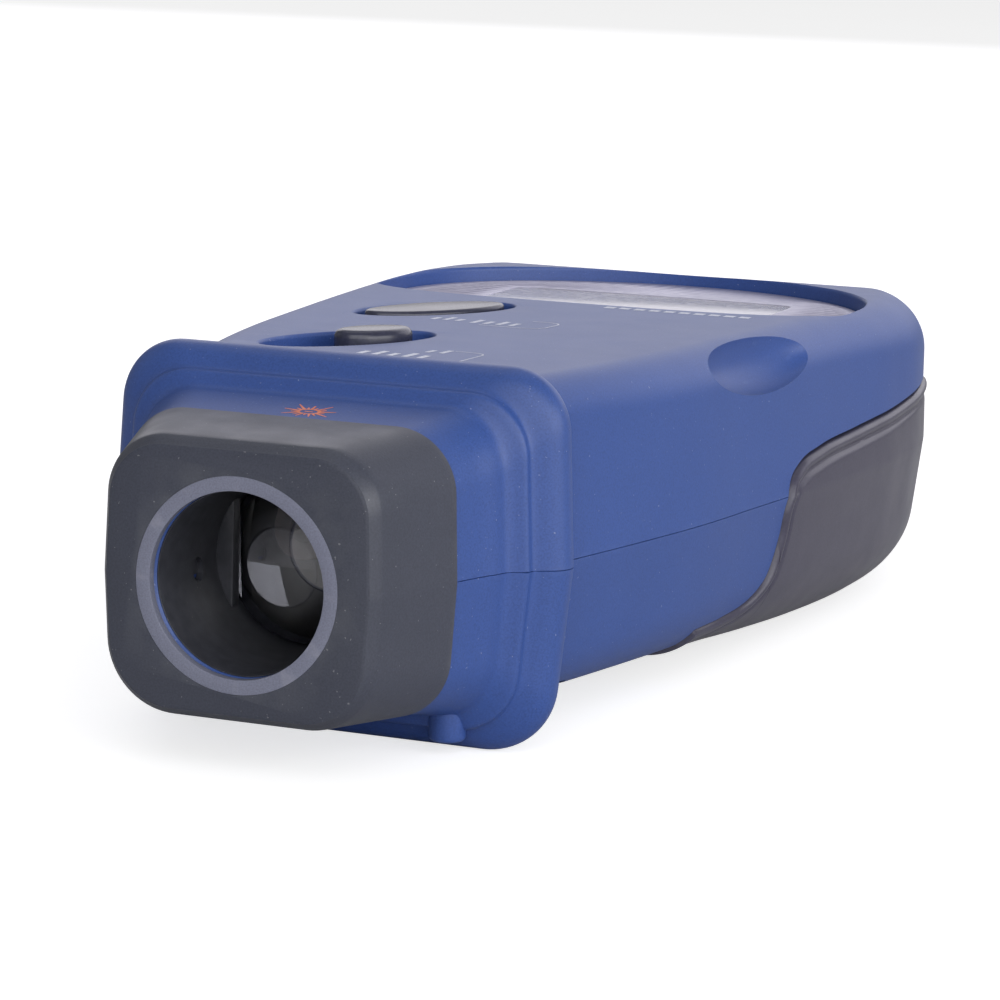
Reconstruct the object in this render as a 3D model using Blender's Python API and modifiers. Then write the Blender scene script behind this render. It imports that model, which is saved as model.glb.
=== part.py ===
"""Hand-held laser instrument: moulded two-half housing, tapered nose cap, optics, keys and battery bay.

Units are metres. +Z is up, the nose points to -Y, and the instrument lies on its belly.
Stations along the body are written in millimetres behind the front of the nose and in millimetres
above the optical axis, and are turned into the shared frame by `place`.
"""

import math

import bmesh
import bpy
import numpy as np
from mathutils import Matrix, Vector

MM = 0.001
PARTS = "laser_instrument"
CUTTERS = "cutters"
TAU = 2.0 * math.pi

# Driving dimensions, in millimetres.
LENGTH = 184.0            # nose ring to handle end
AXIS_HEIGHT = 19.9        # optical axis above the surface the belly rests on
GAP = 0.3                 # clearance kept between touching pieces
WALL = 2.6                # housing wall, thinned to 1.0 under the grip pads

BORE_RADIUS = 9.3         # inside of the lens barrel
RING_OUTER = 10.9
RING_INNER = 9.4
RING_DEPTH = 1.0
CAP_REAR = 12.2           # where the nose cap ends and the blue neck starts
BULKHEAD = 15.0           # front face of the lens seat
SHELF_EDGE = -7.2         # straight side of the D-shaped shelf beside the lens

RECESS_CENTRE = 114.0     # widest station of the display recess
RECESS_HALF_WIDTH = 31.0
RECESS_FRONT = 17.2
RECESS_REAR = 27.5
RECESS_FLOOR = 16.0
WINDOW_HALF_WIDTH = 19.0
WINDOW_FRONT = 106.0
WINDOW_REAR = 127.0

KEY_ANGLE = 60.0          # the key pockets slant across the top
POCKET_LENGTH = 23.0
POCKET_WIDTH = 10.5
SLIDER_POCKET = (-9.8, 48.8)
MEMORY_POCKET = (-12.2, 80.3)
SLIDER_REST = 3.5         # the slider rests this far behind its pocket's centre
SLIDER_TRAVEL = 7.0
MEASURE_KEY = (0.0, 160.0)

BATTERY_RADIUS = 5.2
BATTERY_LENGTH = 44.5
BATTERY_PITCH = 10.7
BATTERY_FRONT = 128.5
BATTERY_AXIS = -9.8
SPRING_WIRE = 0.35
DOOR_HALF_WIDTH = 15.8
DOOR_FRONT = 131.0
DOOR_TOP = -17.6

# One row for each station of the blue housing:
# distance behind the nose, half width at the parting plane, at the top and at the bottom,
# height of the top and of the bottom, and corner radius of the top and of the bottom.
NECK_ROWS = (
    (12.5, 18.1, 17.5, 17.3, 14.9, -14.3, 6.4, 6.4),
    (16.5, 19.5, 18.8, 18.5, 15.5, -14.9, 6.4, 6.6),
    (19.3, 21.0, 20.2, 19.8, 16.4, -15.7, 6.4, 6.8),
    (20.6, 22.2, 21.3, 20.8, 17.4, -16.8, 6.4, 7.0),
    (21.3, 23.1, 22.1, 21.5, 18.2, -17.8, 6.5, 7.2),
    (22.0, 23.8, 22.8, 22.1, 18.6, -18.3, 6.5, 7.3),
    (22.8, 24.8, 23.8, 23.0, 19.5, -19.2, 6.6, 7.4),
    (24.0, 25.7, 24.6, 23.8, 20.2, -19.8, 6.7, 7.6),
    (25.4, 25.9, 24.8, 24.0, 20.3, -19.9, 6.7, 7.6),
    (26.6, 25.5, 24.4, 23.6, 19.9, -19.5, 6.6, 7.4),
    (27.4, 24.6, 23.5, 22.7, 18.9, -18.6, 6.2, 7.0),
)
BODY_ROWS = (
    (28.4, 24.0, 21.0, 21.6, 18.5, -15.5, 5.0, 6.4),
    (42.3, 27.3, 24.7, 25.0, 18.5, -15.7, 5.2, 7.2),
    (56.0, 30.1, 27.4, 27.6, 18.5, -16.1, 5.4, 8.2),
    (69.8, 32.0, 29.4, 29.4, 18.5, -16.8, 5.6, 9.4),
    (85.0, 34.1, 31.3, 31.4, 18.5, -17.9, 5.8, 10.6),
    (100.0, 35.7, 33.0, 32.8, 18.5, -18.9, 6.0, 11.6),
    (115.0, 36.7, 35.0, 33.9, 18.4, -19.4, 6.4, 12.0),
    (126.0, 36.4, 35.8, 33.9, 18.3, -19.4, 6.8, 11.6),
    (135.0, 34.6, 34.3, 32.4, 18.2, -19.4, 7.0, 11.0),
    (141.0, 32.3, 31.6, 30.2, 17.9, -19.4, 7.2, 10.4),
    (145.0, 30.3, 28.8, 28.2, 17.0, -19.4, 7.2, 9.8),
    (149.0, 28.2, 25.9, 26.4, 14.8, -19.4, 7.2, 9.2),
    (154.0, 26.2, 22.8, 24.6, 12.3, -19.4, 7.0, 8.6),
    (161.0, 24.6, 20.4, 23.2, 10.9, -19.4, 6.8, 8.0),
    (170.0, 23.4, 19.2, 22.0, 10.2, -19.4, 6.6, 7.6),
    (178.0, 22.6, 18.4, 21.2, 9.6, -19.4, 6.4, 7.4),
    (182.0, 21.2, 17.0, 19.6, 8.6, -18.8, 6.0, 7.0),
    (183.6, 19.2, 15.0, 17.4, 6.9, -17.2, 5.4, 6.4),
    (184.0, 16.4, 12.4, 14.8, 4.6, -14.6, 4.6, 5.6),
)
BELLY = -19.4                         # flat underside between the grips
CORNER_STEPS = 5
SIDE_STEPS = 3


# ---------------------------------------------------------------- basic helpers

def place(x, back, up):
    """Point of the shared frame, in metres, from a station behind the nose and a height over the axis."""
    return Vector((x, back - LENGTH / 2.0, up + AXIS_HEIGHT)) * MM


def clear_scene():
    for item in list(bpy.data.objects):
        bpy.data.objects.remove(item, do_unlink=True)
    for group in list(bpy.data.collections):
        bpy.data.collections.remove(group)


def new_collection(name):
    bpy.context.scene.collection.children.link(bpy.data.collections.new(name))


def material(name, colour, roughness, metallic=0.0, transmission=0.0):
    made = bpy.data.materials.new(name)
    made.use_nodes = True
    made.diffuse_color = (*colour, 1.0)
    shader = made.node_tree.nodes["Principled BSDF"]
    shader.inputs["Base Color"].default_value = (*colour, 1.0)
    shader.inputs["Roughness"].default_value = roughness
    shader.inputs["Metallic"].default_value = metallic
    shader.inputs["Transmission Weight"].default_value = transmission
    return made


def from_bmesh(name, shape, mat=None):
    """Object from a bmesh: a part if it has a material, or else a cutter."""
    bmesh.ops.recalc_face_normals(shape, faces=shape.faces)
    mesh = bpy.data.meshes.new(name)
    shape.to_mesh(mesh)
    shape.free()
    return from_mesh(name, mesh, mat)


def from_mesh(name, mesh, mat):
    made = bpy.data.objects.new(name, mesh)
    if mat is None:
        bpy.data.collections[CUTTERS].objects.link(made)
        made.hide_render = True
        made.display_type = "WIRE"
    else:
        bpy.data.collections[PARTS].objects.link(made)
        mesh.materials.append(mat)
        smooth(made)
    return made


def copy_of(source, name, mat):
    return from_mesh(name, source.data.copy(), mat)


def boolean(target, cutter, operation="DIFFERENCE", solver="EXACT"):
    change = target.modifiers.new(operation.lower() + "_" + cutter.name, "BOOLEAN")
    change.object = cutter
    change.operation = operation
    change.solver = solver
    return change


def bake(target):
    """Turn an object's modifiers into its mesh, so that it can be copied or cut again."""
    graph = bpy.context.evaluated_depsgraph_get()
    mesh = bpy.data.meshes.new_from_object(target.evaluated_get(graph))
    target.modifiers.clear()
    target.data = mesh
    return target


def smooth(target, angle=35.0):
    target.data.shade_smooth()
    target.data.set_sharp_from_angle(angle=math.radians(angle))


# ---------------------------------------------------------------- shapes

def box_mesh(low, high):
    """Box between two corners given as (x, back, up)."""
    shape = bmesh.new()
    first = place(*low)
    last = place(*high)
    size = last - first
    matrix = Matrix.Translation((first + last) / 2.0) @ Matrix.Diagonal((*size, 1.0))
    bmesh.ops.create_cube(shape, size=1.0, matrix=matrix)
    return shape


def box(name, low, high, mat=None, bevel=0.0):
    made = from_bmesh(name, box_mesh(low, high), mat)
    if bevel:
        add_bevel(made, bevel)
    return made


def add_bevel(target, width, segments=2, angle=40.0):
    change = target.modifiers.new("edges", "BEVEL")
    change.width = width * MM
    change.segments = segments
    change.limit_method = "ANGLE"
    change.angle_limit = math.radians(angle)
    return change


def rod_mesh(start, end, radius, segments):
    """Cylinder between two points given as (x, back, up)."""
    shape = bmesh.new()
    first = place(*start)
    last = place(*end)
    along = last - first
    turn = along.to_track_quat("Z", "Y").to_matrix().to_4x4()
    bmesh.ops.create_cone(
        shape, cap_ends=True, cap_tris=False, segments=segments,
        radius1=radius * MM, radius2=radius * MM,
        depth=along.length, matrix=Matrix.Translation((first + last) / 2.0) @ turn)
    return shape


def rod(name, start, end, radius, mat=None, segments=24):
    return from_bmesh(name, rod_mesh(start, end, radius, segments), mat)


def turned(name, profile, origin, mat, steps=40):
    """Profile of (radius, distance back) points turned about a line along Y, with a Screw.

    The profile closes on itself, unless it starts and ends on the axis.
    """
    area = sum(a[0] * b[1] - b[0] * a[1] for a, b in zip(profile, profile[1:] + profile[:1]))
    ordered = profile[::-1] if area > 0.0 else profile
    shape = bmesh.new()
    corners = [shape.verts.new((radius * MM, 0.0, back * MM)) for radius, back in ordered]
    pairs = list(zip(corners, corners[1:]))
    if profile[0][0] > 0.0:
        pairs.append((corners[-1], corners[0]))
    for pair in pairs:
        shape.edges.new(pair)
    mesh = bpy.data.meshes.new(name)
    shape.to_mesh(mesh)
    shape.free()
    made = from_mesh(name, mesh, mat)
    made.location = place(*origin)
    made.rotation_euler = (math.radians(-90.0), 0.0, 0.0)
    screw = made.modifiers.new("turn", "SCREW")
    screw.steps = steps
    screw.render_steps = steps
    screw.use_merge_vertices = True
    screw.merge_threshold = 0.000005
    screw.use_smooth_shade = True
    return made


def prism(name, outline, low, high, mat=None):
    """Plan outline of (x, back) points pulled up from one height to another."""
    shape = bmesh.new()
    bottom = [shape.verts.new(place(x, back, low)) for x, back in outline]
    face = shape.faces.new(bottom)
    result = bmesh.ops.extrude_face_region(shape, geom=[face])
    lifted = [item for item in result["geom"] if isinstance(item, bmesh.types.BMVert)]
    bmesh.ops.translate(shape, verts=lifted, vec=(0.0, 0.0, (high - low) * MM))
    return from_bmesh(name, shape, mat)


def side_prism(name, outline, start, end, mat=None):
    """Side outline of (back, up) points pulled across from one x to another."""
    shape = bmesh.new()
    first = [shape.verts.new(place(start, back, up)) for back, up in outline]
    face = shape.faces.new(first)
    result = bmesh.ops.extrude_face_region(shape, geom=[face])
    moved = [item for item in result["geom"] if isinstance(item, bmesh.types.BMVert)]
    bmesh.ops.translate(shape, verts=moved, vec=((end - start) * MM, 0.0, 0.0))
    return from_bmesh(name, shape, mat)


def rounded(corner, before, after, radius, steps):
    """Arc that rounds a polygon's corner."""
    corner, before, after = (np.array(point, float) for point in (corner, before, after))
    to_before = (before - corner) / np.linalg.norm(before - corner)
    to_after = (after - corner) / np.linalg.norm(after - corner)
    half = math.acos(float(np.clip(to_before @ to_after, -1.0, 1.0))) / 2.0
    reach = radius / math.tan(half)
    middle = (to_before + to_after) / np.linalg.norm(to_before + to_after)
    centre = corner + middle * radius / math.sin(half)
    start = corner + to_before * reach - centre
    end = corner + to_after * reach - centre
    first = math.atan2(start[1], start[0])
    turn = (math.atan2(end[1], end[0]) - first + math.pi) % TAU - math.pi
    angles = first + turn * np.linspace(0.0, 1.0, steps + 1)
    return [tuple(centre + radius * np.array((math.cos(a), math.sin(a)))) for a in angles]


def section(row, inset=0.0, corner_steps=CORNER_STEPS, side_steps=SIDE_STEPS):
    """Closed outline of (x, up) points of the housing at one station, drawn in by inset."""
    _, middle, top_half, bottom_half, top, bottom, top_radius, bottom_radius = row
    middle = middle - inset
    top_half = top_half - inset
    bottom_half = bottom_half - inset
    top = top - inset
    bottom = bottom + inset
    top_radius = max(top_radius - inset, 1.0)
    bottom_radius = max(bottom_radius - inset, 1.0)
    upper = rounded((top_half, top), (0.0, top), (middle, 0.0), top_radius, corner_steps)
    lower = rounded((bottom_half, bottom), (middle, 0.0), (0.0, bottom), bottom_radius, corner_steps)
    points = [(0.0, top)] + upper
    for step in range(1, side_steps):
        part = step / side_steps
        points.append((upper[-1][0] + part * (middle - upper[-1][0]), upper[-1][1] * (1.0 - part)))
    points.append((middle, 0.0))
    for step in range(1, side_steps):
        part = step / side_steps
        points.append((middle + part * (lower[0][0] - middle), lower[0][1] * part))
    points += lower + [(0.0, bottom)]
    mirrored = [(-x, up) for x, up in reversed(points[1:-1])]
    return points + mirrored


def loft(name, rings, mat=None):
    """Closed skin over rings of equal point counts, each a list of shared-frame points."""
    shape = bmesh.new()
    rows = [[shape.verts.new(point) for point in ring] for ring in rings]
    count = len(rows[0])
    for here, there in zip(rows, rows[1:]):
        for index in range(count):
            after = (index + 1) % count
            shape.faces.new((here[index], here[after], there[after], there[index]))
    shape.faces.new(rows[0])
    shape.faces.new(rows[-1])
    bmesh.ops.triangulate(shape, faces=shape.faces)
    return from_bmesh(name, shape, mat)


def body_row(back):
    """Housing row at any station, by cubic interpolation between the driving rows."""
    table = np.array(BODY_ROWS)
    stations = table[:, 0]
    slopes = np.gradient(table, stations, axis=0)
    index = int(np.clip(np.searchsorted(stations, back) - 1, 0, len(stations) - 2))
    span = stations[index + 1] - stations[index]
    t = (back - stations[index]) / span
    value = ((2 * t**3 - 3 * t**2 + 1) * table[index] + (t**3 - 2 * t**2 + t) * span * slopes[index]
             + (3 * t**2 - 2 * t**3) * table[index + 1] + (t**3 - t**2) * span * slopes[index + 1])
    value[0] = back
    value[5] = max(value[5], BELLY)
    return value


def body_loft(name, stations, inset, mat=None, corner_steps=4, side_steps=2):
    rings = []
    for back in stations:
        outline = section(body_row(back), inset, corner_steps, side_steps)
        rings.append([place(x, back, up) for x, up in outline])
    return loft(name, rings, mat)


def leaf(centre, length, width, angle=KEY_ANGLE, steps=28):
    """Plan outline of a slanted oval."""
    turn = math.radians(angle)
    points = []
    for index in range(steps):
        a = TAU * index / steps
        along = length / 2.0 * math.cos(a)
        across = width / 2.0 * math.sin(a)
        points.append((centre[0] + along * math.cos(turn) - across * math.sin(turn),
                       centre[1] + along * math.sin(turn) + across * math.cos(turn)))
    return points


def recess_outline(grow=0.0, steps=40):
    """Plan outline of the display recess: a flat front with full corners and a half-oval rear."""
    points = []
    for index in range(steps):
        a = TAU * index / steps
        across, along = math.cos(a), math.sin(a)
        if along >= 0.0:
            points.append(((RECESS_HALF_WIDTH + grow) * across,
                           RECESS_CENTRE + (RECESS_REAR + grow) * along))
        else:
            power = 2.0 / 3.6
            points.append((math.copysign(abs(across)**power, across) * (RECESS_HALF_WIDTH + grow),
                           RECESS_CENTRE - abs(along)**power * (RECESS_FRONT + grow)))
    return points


# ---------------------------------------------------------------- outlines of the object

CAP_ROWS = (
    (0.0, 13.9, 13.4, 13.1, 13.0, -12.7, 5.6, 6.6),
    (0.45, 14.7, 14.2, 13.9, 13.85, -13.55, 6.1, 7.2),
    (1.4, 15.1, 14.6, 14.3, 14.25, -13.95, 6.4, 7.5),
    (CAP_REAR, 18.5, 17.9, 17.7, 15.2, -14.4, 6.6, 6.8),
)
CAVITY_ROWS = (
    (14.5, 16.3, 15.7, 15.4, 13.0, -12.6, 4.8, 4.8),
    (20.0, 17.8, 17.1, 16.8, 13.8, -13.4, 5.0, 5.0),
    (27.0, 21.6, 18.2, 19.2, 15.8, -15.0, 3.0, 4.0),
)
BODY_STATIONS = (28.4, 35.0, 42.3, 49.0, 56.0, 63.0, 70.0, 77.0, 85.0, 92.5, 100.0, 107.5, 115.0, 121.0,
                 127.0, 132.0, 136.5, 141.0, 145.0, 149.0, 154.0, 161.0, 170.0, 178.0, 182.0, 183.6, 184.0)
CAVITY_STATIONS = (32.0, 42.0, 56.0, 70.0, 85.0, 100.0, 115.0, 126.0, 135.0, 142.0, 149.0, 156.0,
                   168.0, 180.8)
GRIP_STATIONS = (57.0, 63.0, 70.0, 77.0, 85.0, 92.5, 100.0, 107.5, 115.0, 121.0, 127.0, 132.0, 136.5,
                 141.0, 145.0, 149.0, 154.0, 161.0, 170.0, 178.0, 182.0)
GRIP_OUTLINE = (
    (62.0, -13.4), (68.5, -13.0), (73.5, -11.8), (76.7, -9.2), (78.1, -5.0), (78.4, -1.2), (79.7, 1.7),
    (82.9, 3.4), (88.5, 4.4), (100.5, 5.2), (114.5, 6.0), (126.0, 7.0), (136.0, 7.6), (146.0, 6.8),
    (156.0, 4.8), (168.0, 3.2), (176.0, 2.2), (178.8, 0.2), (179.8, -3.4), (179.8, -30.0), (62.0, -30.0))
GRIP_INNER_EDGE = 17.0                # the grips stop this far from the middle of the belly
GRIP_PROUD = 0.5
GRIP_THICKNESS = 1.8
DISPLAY_FLOOR = RECESS_FLOOR - 1.3    # blue floor that the silver bezel lies on
SCREW_PLACES = ((18.5, 36.0), (-18.5, 36.0), (21.0, 138.0), (-21.0, 138.0))
POST_PLACES = ((20.0, 53.0), (-21.0, 60.0), (23.0, 97.0), (-23.0, 97.0))
BOARD_TOP = 8.8
BOARD_BOTTOM = 7.2
POCKET_FLOOR = 16.2


def offset_outline(points, distance):
    """Outline moved outward by a distance, with mitred corners."""
    array = [Vector(point) for point in points]
    area = sum(a.x * b.y - b.x * a.y for a, b in zip(array, array[1:] + array[:1]))
    side = 1.0 if area > 0.0 else -1.0
    grown = []
    for index, corner in enumerate(array):
        before = (corner - array[index - 1]).normalized()
        after = (array[(index + 1) % len(array)] - corner).normalized()
        first = Vector((before.y, -before.x)) * side
        second = Vector((after.y, -after.x)) * side
        middle = (first + second).normalized()
        grown.append(tuple(corner + middle * distance / max(middle.dot(first), 0.3)))
    return grown


def slanted(centre, along, across=0.0):
    """Point of the top face, along and across the slant of the key pockets."""
    turn = math.radians(KEY_ANGLE)
    return (centre[0] + along * math.cos(turn) - across * math.sin(turn),
            centre[1] + along * math.sin(turn) + across * math.cos(turn))


def slanted_box(centre, length, width):
    """Plan outline of a rectangle that lies along the slant of the key pockets."""
    return [slanted(centre, sign_a * length / 2.0, sign_b * width / 2.0)
            for sign_a, sign_b in ((-1, -1), (1, -1), (1, 1), (-1, 1))]


def oval(centre, length, width, steps=28):
    return leaf(centre, length, width, 90.0, steps)


# ---------------------------------------------------------------- housing

def housing(blue):
    """Upper and lower shells: one outer skin less one cavity, parted on the plane of the optical axis."""
    rings = [[place(x, row[0], up) for x, up in section(row)] for row in NECK_ROWS]
    for back in BODY_STATIONS:
        rings.append([place(x, back, up) for x, up in section(body_row(back))])
    outer = loft("outer_skin", rings)

    rings = [[place(x, row[0], up) for x, up in section(row, 0.0, 3, 1)] for row in CAVITY_ROWS]
    for back in CAVITY_STATIONS:
        rings.append([place(x, back, up) for x, up in section(body_row(back), WALL, 3, 1)])
    cavity = loft("cavity", rings)
    boolean(cavity, prism("display_pan", recess_outline(1.8, 32), 12.9, 30.0))
    for name, centre in (("slider_pan", SLIDER_POCKET), ("memory_pan", MEMORY_POCKET)):
        pan = leaf(centre, POCKET_LENGTH + 3.0, POCKET_WIDTH + 3.0)
        boolean(cavity, prism(name, pan, 14.4, 30.0))
    for index, (x, back) in enumerate(SCREW_PLACES):
        boolean(cavity, rod("screw_column_%d" % index, (x, back, -30.0), (x, back, 30.0), 4.4, segments=16))
    for index, (x, back) in enumerate(POST_PLACES):
        foot = (x, back, BOARD_TOP + GAP)
        boolean(cavity, rod("board_post_%d" % index, foot, (x, back, 30.0), 2.4, segments=12))

    sleeve = rod("neck_sleeve", (0.0, 1.4, 0.0), (0.0, 13.5, 0.0), 10.9, segments=48)
    bosses = [rod("neck_boss_%d" % index, (x, 22.25, -10.0), (x, 22.25, -18.45), 1.93, segments=18)
              for index, x in enumerate((13.93, -13.93))]
    bore = rod("neck_bore", (0.0, 2.6, 0.0), (0.0, 16.0, 0.0), 10.1, segments=48)
    lip = rod("neck_lip", (0.0, -1.0, 0.0), (0.0, 4.0, 0.0), 9.45, segments=48)
    scallops = [scallop(sign) for sign in (1.0, -1.0)]
    seats = [grip_region("grip_seat_%d" % index, sign, -4.0, GRIP_THICKNESS - GRIP_PROUD + GAP, GAP)
             for index, sign in enumerate((1.0, -1.0))]
    shared = [cavity, bore, lip] + scallops + seats

    upper = copy_of(outer, "upper_housing", blue)
    boolean(upper, sleeve, "UNION")
    for tool in [box("below_parting", (-60.0, -20.0, -60.0), (60.0, 210.0, GAP / 2.0))] + shared:
        boolean(upper, tool)
    boolean(upper, prism("display_recess", recess_outline(), DISPLAY_FLOOR, 30.0))
    boolean(upper, box("display_opening", (-20.5, 104.5, 10.0), (20.5, 128.5, 20.0)))
    slot = slanted_box(SLIDER_POCKET, SLIDER_TRAVEL + 4.2, 2.6)
    hole = leaf(MEMORY_POCKET, 20.9, 8.5)
    for name, centre, through in (("slider", SLIDER_POCKET, slot), ("memory", MEMORY_POCKET, hole)):
        pocket = leaf(centre, POCKET_LENGTH, POCKET_WIDTH)
        boolean(upper, prism(name + "_pocket", pocket, POCKET_FLOOR, 30.0))
        boolean(upper, prism(name + "_opening", through, 12.0, 20.0))
    boolean(upper, prism("measure_hole", oval(MEASURE_KEY, 17.0, 12.0), 6.0, 20.0))
    for index, (x, back) in enumerate(SCREW_PLACES):
        boolean(upper, rod("screw_thread_%d" % index, (x, back, -1.0), (x, back, 11.0), 1.5, segments=12))
    for index, (x, back) in enumerate(POST_PLACES):
        boolean(upper, rod("post_thread_%d" % index, (x, back, 5.0), (x, back, 13.0), 1.2, segments=12))

    # The exact solver loses the lower shell where the bosses meet the flange.
    lower = copy_of(outer, "lower_housing", blue)
    for piece in [sleeve] + bosses:
        boolean(lower, piece, "UNION", "MANIFOLD")
    cuts = [box("above_parting", (-60.0, -20.0, -GAP / 2.0), (60.0, 210.0, 60.0))] + shared
    for index, (x, back) in enumerate(SCREW_PLACES):
        cuts.append(rod("screw_clear_%d" % index, (x, back, -30.0), (x, back, 1.0), 1.6, segments=12))
        cuts.append(rod("screw_counterbore_%d" % index, (x, back, -30.0), (x, back, -8.0), 3.0, segments=20))
    cuts.append(box("door_opening", (-DOOR_HALF_WIDTH - GAP, DOOR_FRONT - GAP, -30.0),
                    (DOOR_HALF_WIDTH + GAP, 200.0, DOOR_TOP + GAP)))
    for tool in cuts:
        boolean(lower, tool, "DIFFERENCE", "MANIFOLD")
    return outer


def scallop(sign):
    """Shallow finger dish on the upper edge of a side, cut with a long ellipsoid."""
    shape = bmesh.new()
    lean = math.radians(42.0)
    reach = Vector((math.cos(lean) * sign, 0.0, math.sin(lean)))
    on_edge = place(30.0 * sign, 75.5, 15.6)
    turn = Matrix.Rotation(-sign * math.radians(8.0), 4, "Z") @ Matrix.Rotation(-sign * lean, 4, "Y")
    size = Matrix.Diagonal((9.0 * MM, 25.0 * MM, 7.6 * MM, 1.0))
    bmesh.ops.create_uvsphere(shape, u_segments=28, v_segments=18, radius=1.0,
                              matrix=Matrix.Translation(on_edge + reach * 7.2 * MM) @ turn @ size)
    return from_bmesh("scallop_%s" % ("right" if sign > 0.0 else "left"), shape)


def grip_region(name, sign, outside, inside, grow, mat=None):
    """Layer of the housing's side between two depths, within the side outline of the grip."""
    layer = body_loft(name, GRIP_STATIONS, outside, mat)
    boolean(layer, body_loft(name + "_core", GRIP_STATIONS, inside))
    outline = offset_outline(GRIP_OUTLINE, grow) if grow else GRIP_OUTLINE
    edge = (GRIP_INNER_EDGE - grow) * sign
    boolean(layer, side_prism(name + "_outline", outline, edge, 60.0 * sign), "INTERSECT")
    return layer


def grips(rubber):
    for name, sign in (("grip_right", 1.0), ("grip_left", -1.0)):
        grip_region(name, sign, -GRIP_PROUD, GRIP_THICKNESS - GRIP_PROUD, 0.0, rubber)


# ---------------------------------------------------------------- nose

def nose(dark, ring_grey):
    cap = loft("nose_cap", [[place(x, row[0], up) for x, up in section(row)] for row in CAP_ROWS], dark)
    inner_rows = [(1.8, *CAP_ROWS[2][1:]), (CAP_REAR + 0.6, *CAP_ROWS[3][1:])]
    inner = [[place(x, row[0], up) for x, up in section(row, 1.5, 4, 1)] for row in inner_rows]
    boolean(cap, loft("cap_inside", inner))
    boolean(cap, rod("cap_hole", (0.0, -2.0, 0.0), (0.0, 4.0, 0.0), RING_OUTER + GAP, segments=56))
    profile = ((RING_INNER, 0.0), (RING_INNER, RING_DEPTH), (RING_OUTER, RING_DEPTH), (RING_OUTER, 0.0))
    turned("aperture_ring", profile, (0.0, 0.0, 0.0), ring_grey, 56)


# ---------------------------------------------------------------- optics

def optics(black, glass, brass, green, dark):
    barrel_profile = ((BORE_RADIUS, 2.9), (BORE_RADIUS, 22.0), (10.9, 22.0), (10.9, 17.2), (12.2, 17.2),
                      (12.2, 14.8), (9.8, 14.8), (9.8, 2.9))
    barrel = turned("lens_barrel", barrel_profile, (0.0, 0.0, 0.0), black, 48)
    bake(barrel)
    height = math.sqrt(BORE_RADIUS**2 - SHELF_EDGE**2)
    steps = 10
    first = math.atan2(height, SHELF_EDGE)
    shelf = []
    for index in range(steps + 1):
        a = first + (TAU - 2.0 * first) * index / steps
        shelf.append(((BORE_RADIUS + 0.25) * math.cos(a), (BORE_RADIUS + 0.25) * math.sin(a)))
    boolean(barrel, front_prism("barrel_shelf", shelf, BULKHEAD, BULKHEAD + 1.5), "UNION")
    boolean(barrel, rod("barrel_side_hole", (-14.0, 10.6, -1.0), (-6.0, 10.6, -1.0), 1.2, segments=16))

    front_radius = 32.0
    vertex = BULKHEAD + 0.6
    lens_profile = [(0.0, BULKHEAD + 4.4), (9.0, BULKHEAD + 4.4)]
    for index in range(7):
        radius = 9.0 * (1.0 - index / 6.0)
        lens_profile.append((radius, vertex + front_radius - math.sqrt(front_radius**2 - radius**2)))
    lens = turned("objective_lens", lens_profile, (0.0, 0.0, 0.0), glass, 40)
    bake(lens)
    boolean(lens, box("lens_flat", (-20.0, BULKHEAD - 2.0, -12.0), (SHELF_EDGE + 0.2, BULKHEAD + 1.8, 12.0)))

    turned("lens_retainer", ((7.8, 19.8), (7.8, 21.6), (9.0, 21.6), (9.0, 19.8)), (0.0, 0.0, 0.0), dark, 32)
    turned("sensor_cone", ((9.2, 22.4), (6.4, 38.4), (7.6, 38.4), (10.4, 22.4)), (0.0, 0.0, 0.0), black, 32)
    box("sensor_board", (-10.0, 38.8, -9.0), (10.0, 40.4, 6.4), green, 0.3)
    photodiode = rod("photodiode", (3.0, 35.4, 0.0), (3.0, 38.5, 0.0), 2.4, dark, 20)
    add_bevel(photodiode, 0.4)
    laser_profile = ((0.0, 38.4), (2.0, 38.4), (2.0, 29.6), (1.7, 29.6), (1.7, 26.0), (0.9, 26.0),
                     (0.9, 28.4), (0.0, 28.4))
    turned("laser_module", laser_profile, (-3.4, 0.0, 0.0), brass, 20)


def front_prism(name, outline, start, end, mat=None):
    """Front outline of (x, up) points pulled back from one station to another."""
    shape = bmesh.new()
    face = shape.faces.new([shape.verts.new(place(x, start, up)) for x, up in outline])
    result = bmesh.ops.extrude_face_region(shape, geom=[face])
    moved = [item for item in result["geom"] if isinstance(item, bmesh.types.BMVert)]
    bmesh.ops.translate(shape, verts=moved, vec=(0.0, (end - start) * MM, 0.0))
    return from_bmesh(name, shape, mat)


# ---------------------------------------------------------------- display

def display(silver, clear, cell, white, rubber):
    bezel = prism("display_bezel", recess_outline(-GAP, 48), DISPLAY_FLOOR + GAP, RECESS_FLOOR, silver)
    boolean(bezel, box("bezel_opening", (-WINDOW_HALF_WIDTH, WINDOW_FRONT, 10.0),
                       (WINDOW_HALF_WIDTH, WINDOW_REAR, 20.0)))
    box("display_window", (-20.2, 104.8, 13.4), (20.2, 128.2, DISPLAY_FLOOR), clear, 0.2)
    box("lcd_glass", (-19.5, 105.5, 11.4), (19.5, 127.5, 13.0), cell, 0.15)
    frame = box("lcd_frame", (-21.8, 103.2, BOARD_TOP + GAP), (21.8, 129.8, 12.4), white)
    boolean(frame, box("lcd_pocket", (-19.8, 105.2, 11.1), (19.8, 127.8, 14.0)))
    boolean(frame, box("strip_slot", (-18.0, 106.0, 6.0), (18.0, 108.6, 12.0)))
    box("connector_strip", (-17.6, 106.3, BOARD_TOP + GAP), (17.6, 108.3, 11.1), rubber)


# ---------------------------------------------------------------- keys and switches

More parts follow.
